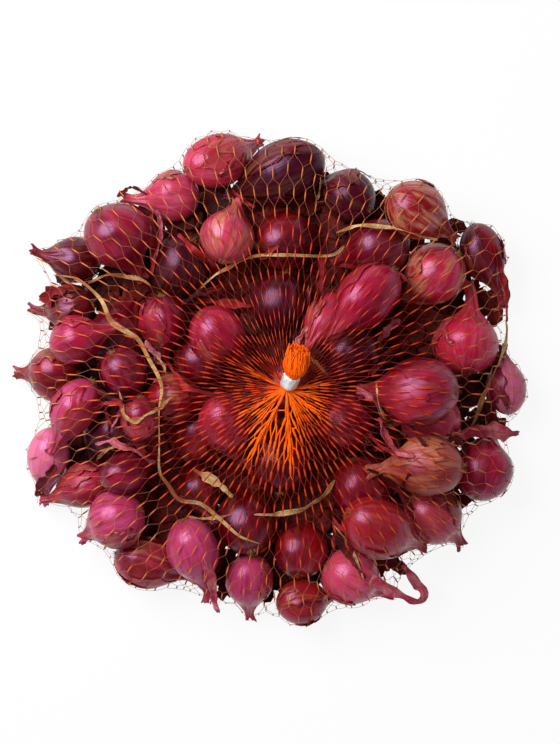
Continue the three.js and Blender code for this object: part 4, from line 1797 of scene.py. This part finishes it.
@dataclass
class Net:
    """Knotless orange netting: two families of strands that join in short thick dashes.

    Along the net from a clip, the rows of joints start to wander at `loose_from` and wander
    most from `loose_to` on. Cords are drawn out more and more over `drawn_over`. What makes
    one side of the crown differ from the other fades between `uneven_to` and `even_from`.
    """

    top: Gather
    bottom: Gather
    joints_round: int = 92
    row_pitch: float = 9.8
    strand: float = 0.11
    joint: float = 0.46
    joint_reach: float = 2.8
    standoff: float = 1.25
    edge_circle: float = 93.0
    edge_height: float = 16.0
    slack_side: float = 268.0
    floor: float = 0.55
    pocket_rim: float = 18.0
    samples: int = 480
    passes: int = 900
    lengthwise_pull: float = 0.7
    sideways_pull: float = 0.3
    clearance: float = 0.5
    foot_height: float = 12.0
    crown_reach: float = 88.0
    headroom: float = 12.0
    lowest_cord: float = 0.35
    loose_from: float = 4.0
    loose_to: float = 40.0
    drawn_from: float = 3.0
    drawn_over: float = 100.0
    uneven_to: float = 16.0
    even_from: float = 74.0
    surface: Array = field(init=False)
    length: float = field(init=False)

    @property
    def columns(self) -> int:
        """Columns of the net's surface: one for each joint, and one between each two."""
        return 2 * self.joints_round

    def lines(self) -> tuple[Array, Array]:
        """The lines the surface's points may slide along.

        Returns:
            Their feet and their directions, as rows by columns by 3.
        """
        turn = np.linspace(0, 2 * math.pi, self.columns, endpoint=False)
        outward = np.stack([np.cos(turn), np.sin(turn), 0 * turn], axis=-1)
        insets = np.arange(3.0, self.edge_circle, 3.0)
        angles = np.radians(np.linspace(82, -52, 20))
        gather = self.top.spread() * np.array([1, 1, 0])
        feet, ways = [], []
        for inset in insets:
            centre = gather * (1 - inset / self.edge_circle) + UP * self.edge_height
            feet.append(centre + outward * inset)
            ways.append(np.tile(UP, (self.columns, 1)))
        for angle in angles:
            feet.append(UP * self.edge_height + outward * self.edge_circle)
            ways.append(outward * math.cos(angle) + UP * math.sin(angle))
        return np.array(feet), np.array(ways)

    def on_line(self, feet: Array, ways: Array, reach: Array) -> Array:
        """Points at a reach along their lines, never below the surface it lies on."""
        points = feet + ways * reach[..., None]
        points[..., 2] = np.maximum(points[..., 2], self.floor)
        return points

    def drape(self, balls: Array) -> None:
        """Draws the surface tight over everything in the bag.

        Args:
            balls: What it lies over, as rows of x, y, z and radius.
        """
        feet, ways = self.lines()
        least = np.zeros(feet.shape[:2])
        for x, y, z, radius in balls:
            to_ball = np.array([x, y, z]) - feet
            along = (to_ball * ways).sum(-1)
            miss = (to_ball**2).sum(-1) - along**2
            room = (radius + self.standoff) ** 2 - miss
            reach = along + np.sqrt(np.maximum(room, 0))
            least = np.where(room > 0, np.maximum(least, reach), least)
        lowest = (self.edge_height - self.floor) / -ways[-1, :, 2]
        least[-1] = np.maximum(least[-1], lowest)
        first = self.top.ring(self.top.spread(), self.top.radius, self.columns)[None]
        reach = least + self.headroom
        for _ in range(self.passes):
            points = self.on_line(feet, ways, reach)
            under = points[-1:] * np.array([0.9, 0.9, 0]) + UP * self.floor
            whole = np.concatenate([first, points, under])
            lengthwise = (whole[:-2] + whole[2:]) / 2
            sideways = (np.roll(points, 1, axis=1) + np.roll(points, -1, axis=1)) / 2
            mean = self.lengthwise_pull * lengthwise + self.sideways_pull * sideways
            reach = np.maximum(least, ((mean - feet) * ways).sum(-1))
        over = self.on_line(feet, ways, reach)
        self.surface = self.resample(np.concatenate([first, over, self.underside(over[-1])]))

    def underside(self, last: Array) -> Array:
        """The net under the pile, from the last row over its edge to the lower clip."""
        turn = np.linspace(0, 2 * math.pi, self.columns, endpoint=False)
        outward = np.stack([np.cos(turn), np.sin(turn), 0 * turn], axis=-1)
        rim = outward * self.pocket_rim + UP * self.floor
        end = self.bottom.ring(self.bottom.spread(), self.bottom.radius, self.columns)
        flat = last * np.array([1, 1, 0]) + UP * self.floor
        rows = [flat + (rim - flat) * share for share in (0.08, 0.35, 0.7, 1.0)]
        rows += [rim + (end - rim) * share for share in (0.35, 0.7, 1.0)]
        return np.array(rows)

    def resample(self, rows: Array) -> Array:
        """Sets out the rows at even distances along the net, from clip to clip."""
        steps = np.linalg.norm(np.diff(rows, axis=0), axis=-1)
        travelled = np.concatenate([np.zeros((1, rows.shape[1])), np.cumsum(steps, axis=0)])
        self.length = float(travelled[-1].mean())
        share = np.linspace(0, 1, self.samples + 1)
        even = np.empty((self.samples + 1, rows.shape[1], 3))
        for column in range(rows.shape[1]):
            known = travelled[:, column] / travelled[-1, column]
            for k in range(3):
                even[:, column, k] = np.interp(share, known, rows[:, column, k])
        return even

    def grip(self, travel: Array, column: Array) -> tuple[Array, Array]:
        """How the ropes at the top hold the net together.

        Args:
            travel: Distance from the top gather along the net, in millimetres.
            column: Column, which may be between two.

        Returns:
            How many columns away the nearest rope is, and how firmly it holds, from 0 to 1.
        """
        middles = np.array([rope.angle for rope in ROPES]) / 360 * self.columns
        away = (middles - column[..., None] + self.columns / 2) % self.columns - self.columns / 2
        order = np.abs(away).argsort(-1)
        nearest = np.take_along_axis(away, order[..., :2], -1)
        first, second = nearest[..., 0], nearest[..., 1]
        edge = 2 * np.abs(first) / (np.abs(first) + np.abs(second))
        reach = np.array([rope.reach for rope in ROPES])[order[..., 0]] * (1.25 - 0.9 * edge)
        pull = np.array([rope.pull for rope in ROPES])[order[..., 0]]
        return first, pull * (1 - ease(0.35 * reach, 1.2 * reach, travel))

    def bundled(self, column: Array) -> Array:
        """How strong the ropes near a column are, from 0 to 1."""
        angles = [rope.angle for rope in ROPES]
        pulls = [rope.pull for rope in ROPES]
        return np.interp(360 * column / self.columns, angles, pulls, period=360)

    def at(self, travel: Array, column: Array) -> Array:
        """Points of the net's surface.

        Args:
            travel: Distance from the top gather along the net, in millimetres.
            column: Column, which may be between two.

        Returns:
            The points.
        """
        nearest, hold = self.grip(travel, column)
        fullness = 0.8 * np.sin(2.4 * column) * hold * ease(0.0, 6.0, travel)
        column = column + nearest * hold
        row = np.clip(travel / self.length, 0, 1) * self.samples
        r0 = np.clip(np.floor(row).astype(int), 0, self.samples - 1)
        c0 = np.floor(column).astype(int)
        fr, fc = (row - r0)[..., None], (column - c0)[..., None]
        a, b = c0 % self.columns, (c0 + 1) % self.columns
        upper = self.surface[r0, a] * (1 - fc) + self.surface[r0, b] * fc
        lower = self.surface[r0 + 1, a] * (1 - fc) + self.surface[r0 + 1, b] * fc
        points = upper * (1 - fr) + lower * fr
        return points + fullness[..., None] * UP

    def strands(self) -> dict[str, Array]:
        """Every thin strand and every joint, as lines of points.

        Returns:
            The lines' points, as lines by points by 3, and for every point its half width,
            how far the net has been drawn there, and whether it is on a slim strand.
        """
        rows = round(self.length / self.row_pitch)
        pitch = self.length / rows
        steps = 5
        gap = self.joint_reach * 0.75
        k, j = np.meshgrid(np.arange(rows), np.arange(self.joints_round), indexing="ij")
        rng = np.random.default_rng(3)
        column = 2.0 * j + k % 2
        travel = (k + 0.5) * pitch
        turn = 2 * math.pi * column / self.columns
        loose = ease(self.loose_from, self.loose_to, travel)
        loose = loose * ease(self.loose_from, self.loose_to, self.length - travel)
        travel += pitch * loose * (0.42 * np.sin(3 * turn + 0.8) + 0.34 * np.sin(8 * turn + 2.1))
        travel += rng.normal(0.0, 1.0, k.shape) * (1.5 - 0.8 * ease(15.0, 70.0, travel))
        travel = np.clip(travel, gap + 1.0, self.length - gap - 1.0)
        column = column + rng.normal(0.0, 0.13, k.shape)
        share = np.linspace(0, 1, steps)
        runs, columns, widths, slims = [], [], [], []

        def add(run: Array, across: Array, width: Array | float, slim: Array | float) -> None:
            """Keeps some lines of one kind."""
            run = run.reshape(-1, steps)
            runs.append(run)
            columns.append(np.broadcast_to(across, (*across.shape[:-1], steps)).reshape(-1, steps))
            widths.append(np.broadcast_to(width, run.shape))
            slims.append(np.broadcast_to(slim, run.shape))

        for way in (0, 1):
            beside = (j[:-1] + k[:-1] % 2 - 1 + way) % self.joints_round
            row = k[:-1] + 1
            turn = self.columns / 2
            step = (column[row, beside] - column[:-1] + turn) % self.columns - turn
            start = travel[:-1, :, None] + gap
            run = start + (travel[row, beside][..., None] - gap - start) * share
            across = column[:-1, :, None] + step[..., None] * (3 * share**2 - 2 * share**3)
            add(run, across, self.strand, 1.0)
        inner = np.linspace(-1, 1, steps)
        thick = self.strand + (self.joint - self.strand) * (1 - inner**4)
        run = travel[..., None] + inner * self.joint_reach
        add(run, column[..., None], thick, np.abs(inner) ** 3)
        for end, last in ((0.0, 0), (self.length, -1)):
            run = end + (travel[last][:, None] - end) * share
            add(run, column[last][:, None], self.joint * 0.8, 0.0)
        run, across = np.concatenate(runs), np.concatenate(columns)
        points = self.at(run, across)
        gathers = np.stack([self.top.spread(), self.bottom.spread()])
        near = np.linalg.norm(points[:, :, None] - gathers, axis=-1).min(-1)
        hold = self.grip(run, across)[1]
        side = np.cos(2 * math.pi * across / self.columns - math.radians(self.slack_side))
        fade = 1 - ease(self.uneven_to, self.even_from, run)
        slack = (side - 0.2) * fade
        plain = (0.48 - self.bundled(across)) * fade
        stray = rng.normal(0.0, 0.06, len(run))[:, None] * fade
        away = np.clip((near - self.drawn_from) / self.drawn_over, 0, 1)
        drawn = away**0.75 * (1 - 0.7 * hold)
        drawn = np.clip(drawn - 0.2 * slack + 0.7 * plain + stray, 0, 1)
        slim = np.concatenate(slims)
        swollen = 0.13 * slim * np.clip(1 - 1.8 * drawn, 0, 1)
        wide = np.concatenate(widths) * (1 - 0.25 * drawn) + swollen
        return {
            "points": points,
            "half_width": wide * (1 + 0.3 * slack - 0.6 * plain),
            "drawn": drawn,
            "slim": slim,
        }

    def mesh_of(self, name: str, points: Array, **values: Array) -> bpy.types.Mesh:
        """Makes a mesh of open lines.

        Args:
            name: Its name.
            points: The lines' points, as lines by points by 3.
            **values: A number for every point, by name.

        Returns:
            The mesh, which carries the values.
        """
        count, steps = points.shape[:2]
        first = (np.arange(count)[:, None] * steps + np.arange(steps - 1)).ravel()
        edges = np.stack([first, first + 1], axis=-1)
        mesh = bare_mesh(name, points.reshape(-1, 3), edges.tolist(), [])
        for key, value in values.items():
            slot = mesh.attributes.new(key, "FLOAT", "POINT")
            slot.data.foreach_set("value", value.astype(np.float32).ravel())
        return mesh

    def build(self, ground: Ground) -> list[bpy.types.Object]:
        """Makes the net as a few pieces, from the top gather to the bottom one.

        Args:
            ground: What it may not cut through.

        Returns:
            The pieces.
        """
        tree = cord_tree()
        settings = {"Thickness": MM, "Material": MATERIALS[NET_FINISH.name]}
        net = self.strands()
        lines = ground.clear(net["points"].reshape(-1, 3), self.clearance)
        lines[:, 2] = np.maximum(lines[:, 2], self.lowest_cord)
        net["points"] = lines.reshape(net["points"].shape)
        middle = net["points"].mean(axis=1)
        low = middle[:, 2] < self.foot_height
        near = np.hypot(middle[:, 0], middle[:, 1]) < self.crown_reach
        zones = [
            ("net_foot", low, 4),
            ("net_crown", ~low & near, 5),
            ("net_shoulder", ~low & ~near, 5),
        ]
        pieces = []
        for name, chosen, sides in zones:
            mesh = self.mesh_of(name, **{key: value[chosen] for key, value in net.items()})
            pieces.append(grow(tree, mesh, name, Sides=sides, **settings))
        tails = [
            Tail("net_top_tail", self.top, (0.1, 0.95, 0.0), 13.8, 6.0, 420),
            Tail("net_bottom_tail", self.bottom, (0.6, 0.3, 0.0), 6.0, 4.6, 90),
        ]
        for tail in tails:
            strands = tail.strands()
            plain = np.zeros(strands.shape[:2])
            values = {"half_width": plain + tail.half_width, "drawn": plain, "slim": plain}
            mesh = self.mesh_of(tail.name, strands, **values)
            pieces.append(grow(tree, mesh, tail.name, Sides=5, **settings))
        for piece in pieces:
            place(piece, "net_orange", "net")
        return pieces


# ---- Clips ------------------------------------------------------------------------------


@dataclass
class Clip:
    """A piece of aluminium wire crimped round the gathered net, its ends overlapping."""

    gather: Gather
    name: str
    node: str
    radius: float = 3.75
    wall: float = 1.0
    half_height: float = 2.3
    around: int = 14
    along: int = 72
    first_turn: float = 118.0
    whole_turn: float = 398.0

    def build(self) -> bpy.types.Object:
        """Bends the wire once round the net and lets one end stand out."""
        way = self.gather.way
        across = unit(np.array([1.0, 0.0, 0.0]) - way * way[0])
        side = np.cross(way, across)
        share = np.linspace(0, 1, self.along)
        turn = np.radians(self.first_turn + self.whole_turn * share)
        square = 1 + 0.07 * np.cos(4 * turn)
        radius = self.radius * square + 0.9 * ease(0.86, 1.0, share)
        climb = 0.9 * (share - 0.5)
        press = 1 - 0.13 * np.maximum(0, np.cos(3 * turn)) ** 4
        end = np.minimum(ease(-0.02, 0.04, share), ease(1.02, 0.9, share))
        profile = np.linspace(0, 2 * math.pi, self.around, endpoint=False)
        bulge = np.sign(np.cos(profile)) * np.abs(np.cos(profile)) ** 0.6
        height = np.sign(np.sin(profile)) * np.abs(np.sin(profile)) ** 0.6
        thick = self.wall * press * (0.35 + 0.65 * end)
        tall = self.half_height * (0.45 + 0.55 * end)
        r = radius[:, None] + thick[:, None] * bulge
        z = climb[:, None] + tall[:, None] * height
        x = r * np.cos(turn)[:, None]
        y = r * np.sin(turn)[:, None]
        grid = self.gather.clip + x[..., None] * across + y[..., None] * side + z[..., None] * way
        maker = MeshMaker()
        points = np.concatenate([grid.reshape(-1, 3), grid[[0, -1]].mean(axis=1)])
        maker.add(points, tube_faces(self.around, self.along)[:, ::-1])
        count = self.around * self.along
        maker.add_fan(np.arange(self.around), count, 0)
        maker.add_fan(np.arange(count - self.around, count)[::-1], count + 1, 0)
        piece = maker.build(self.name, MATERIALS[WIRE_FINISH.name])
        return place(piece, "clip_aluminium", self.node)


# ---- Studio -----------------------------------------------------------------------------


@dataclass(frozen=True)
class Lamp:
    """A round area light that shines at the middle of the bag.

    Its place and diameter are in millimetres and its power in watts. A lamp without shine
    doesn't show as a highlight.
    """

    name: str
    place: tuple[float, float, float]
    diameter: float
    power: float
    shine: bool = True

    def build(self, target: Vector) -> None:
        """Adds the lamp, turned to a target."""
        light = bpy.data.lights.new(self.name, "AREA")
        light.shape = "DISK"
        light.size = self.diameter * MM
        light.energy = self.power
        lamp = new_object(self.name, light)
        lamp.location = Vector(self.place) * MM
        aim = target - lamp.location
        lamp.rotation_euler = aim.to_track_quat("-Z", "Y").to_euler()
        lamp.visible_glossy = self.shine


LAMPS = [
    Lamp("key", (-530.0, 390.0, 720.0), 780.0, 13.8),
    Lamp("fill", (420.0, -340.0, 760.0), 500.0, 1.4, shine=False),
]


@dataclass
class Studio:
    """A pale floor, soft lights and a camera straight above the bag."""

    middle: tuple[float, float] = (3.1, 4.0)
    view_width: float = 263.2
    focus_height: float = 30.0
    distance: float = 1600.0
    sensor: float = 36.0
    far_clip: float = 20.0
    backdrop_sides: int = 64

    def backdrop(self) -> None:
        """A white floor that curves up into a low wall all round, and keeps the bag's shadow."""
        sides = self.backdrop_sides
        outline = [(0.5, 0.0), (2.0, 0.0), (3.4, 0.0), (3.8, 0.06), (4.1, 0.26), (4.25, 0.6)]
        outline += [(4.3, 1.4)]
        turn = np.linspace(0, 2 * math.pi, sides, endpoint=False)
        rings = [(r * math.cos(a), r * math.sin(a), z) for r, z in outline for a in turn]
        faces = tube_faces(sides, len(outline))[:, ::-1].tolist() + [tuple(range(sides))]
        mesh = bpy.data.meshes.new("backdrop")
        mesh.from_pydata(rings, [], faces)
        mesh.polygons.foreach_set("use_smooth", [True] * len(mesh.polygons))
        backdrop = new_object("backdrop", mesh)
        paint = Paint.start("white_backdrop", Roughness=0.9, Specular_IOR_Level=0.1)
        paint.shader.inputs["Base Color"].default_value = (0.8, 0.8, 0.8, 1)
        tree = paint.tree
        glow = tree.nodes.new("ShaderNodeEmission")
        rays = tree.nodes.new("ShaderNodeLightPath")
        seen = paint.math("MAXIMUM", rays.outputs["Is Camera Ray"], rays.outputs["Is Glossy Ray"])
        seen = paint.math("MAXIMUM", seen, rays.outputs["Is Transmission Ray"])
        blend = tree.nodes.new("ShaderNodeMixShader")
        tree.links.new(paint.math("MULTIPLY", seen, 0.9), blend.inputs[0])
        tree.links.new(paint.shader.outputs[0], blend.inputs[1])
        tree.links.new(glow.outputs[0], blend.inputs[2])
        ending = tree.nodes["Material Output"]
        tree.links.new(blend.outputs[0], ending.inputs["Surface"])
        mesh.materials.append(paint.material)

    def world(self) -> None:
        """Soft, even light from all round."""
        world = bpy.data.worlds.new("studio")
        bpy.context.scene.world = world
        world.use_nodes = True
        background = world.node_tree.nodes["Background"]
        background.inputs["Color"].default_value = (1, 1, 1, 1)
        background.inputs["Strength"].default_value = 0.2

    def camera(self) -> None:
        """A long lens straight above, a little right of the bag's middle."""
        data = bpy.data.cameras.new("camera")
        data.sensor_fit = "HORIZONTAL"
        data.sensor_width = self.sensor
        data.lens = self.sensor * self.distance / self.view_width
        data.clip_end = self.far_clip
        camera = new_object("camera", data)
        x, y = self.middle
        camera.location = Vector((x, y, self.focus_height + self.distance)) * MM
        bpy.context.scene.camera = camera

    def build(self) -> None:
        """Sets up the whole studio."""
        self.backdrop()
        self.world()
        for lamp in LAMPS:
            lamp.build(Vector((0, 0, self.focus_height * MM)))
        self.camera()
        bpy.context.scene.view_settings.view_transform = "Standard"


# ---- Assembly ---------------------------------------------------------------------------


def main() -> None:
    """Builds the bag, piece by piece, and the studio round it."""
    logging.basicConfig(level=logging.INFO, format="%(message)s")
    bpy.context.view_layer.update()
    Studio().build()
    pile = Pile.from_frame()
    onions = pile.build()
    leaves = Leaves()
    papers = leaves.build(Ground.over(onions))
    RootTufts().build(pile)
    LitterAndPaintedShade().build()
    top = Gather.from_frame("top_clip", upward=True, neck=4.8, radius=1.9)
    bottom = Gather.from_frame("bottom_clip", upward=False, neck=5.6)
    net = Net(top, bottom)
    net.drape(np.concatenate([pile.balls(), leaves.balls()]))
    net.build(Ground.over(onions + papers))
    Clip(top, "top_clip_wire", "top_clip", radius=3.1, wall=0.85, half_height=3.2).build()
    Clip(bottom, "bottom_clip_wire", "bottom_clip").build()


if __name__ == "__main__":
    main()
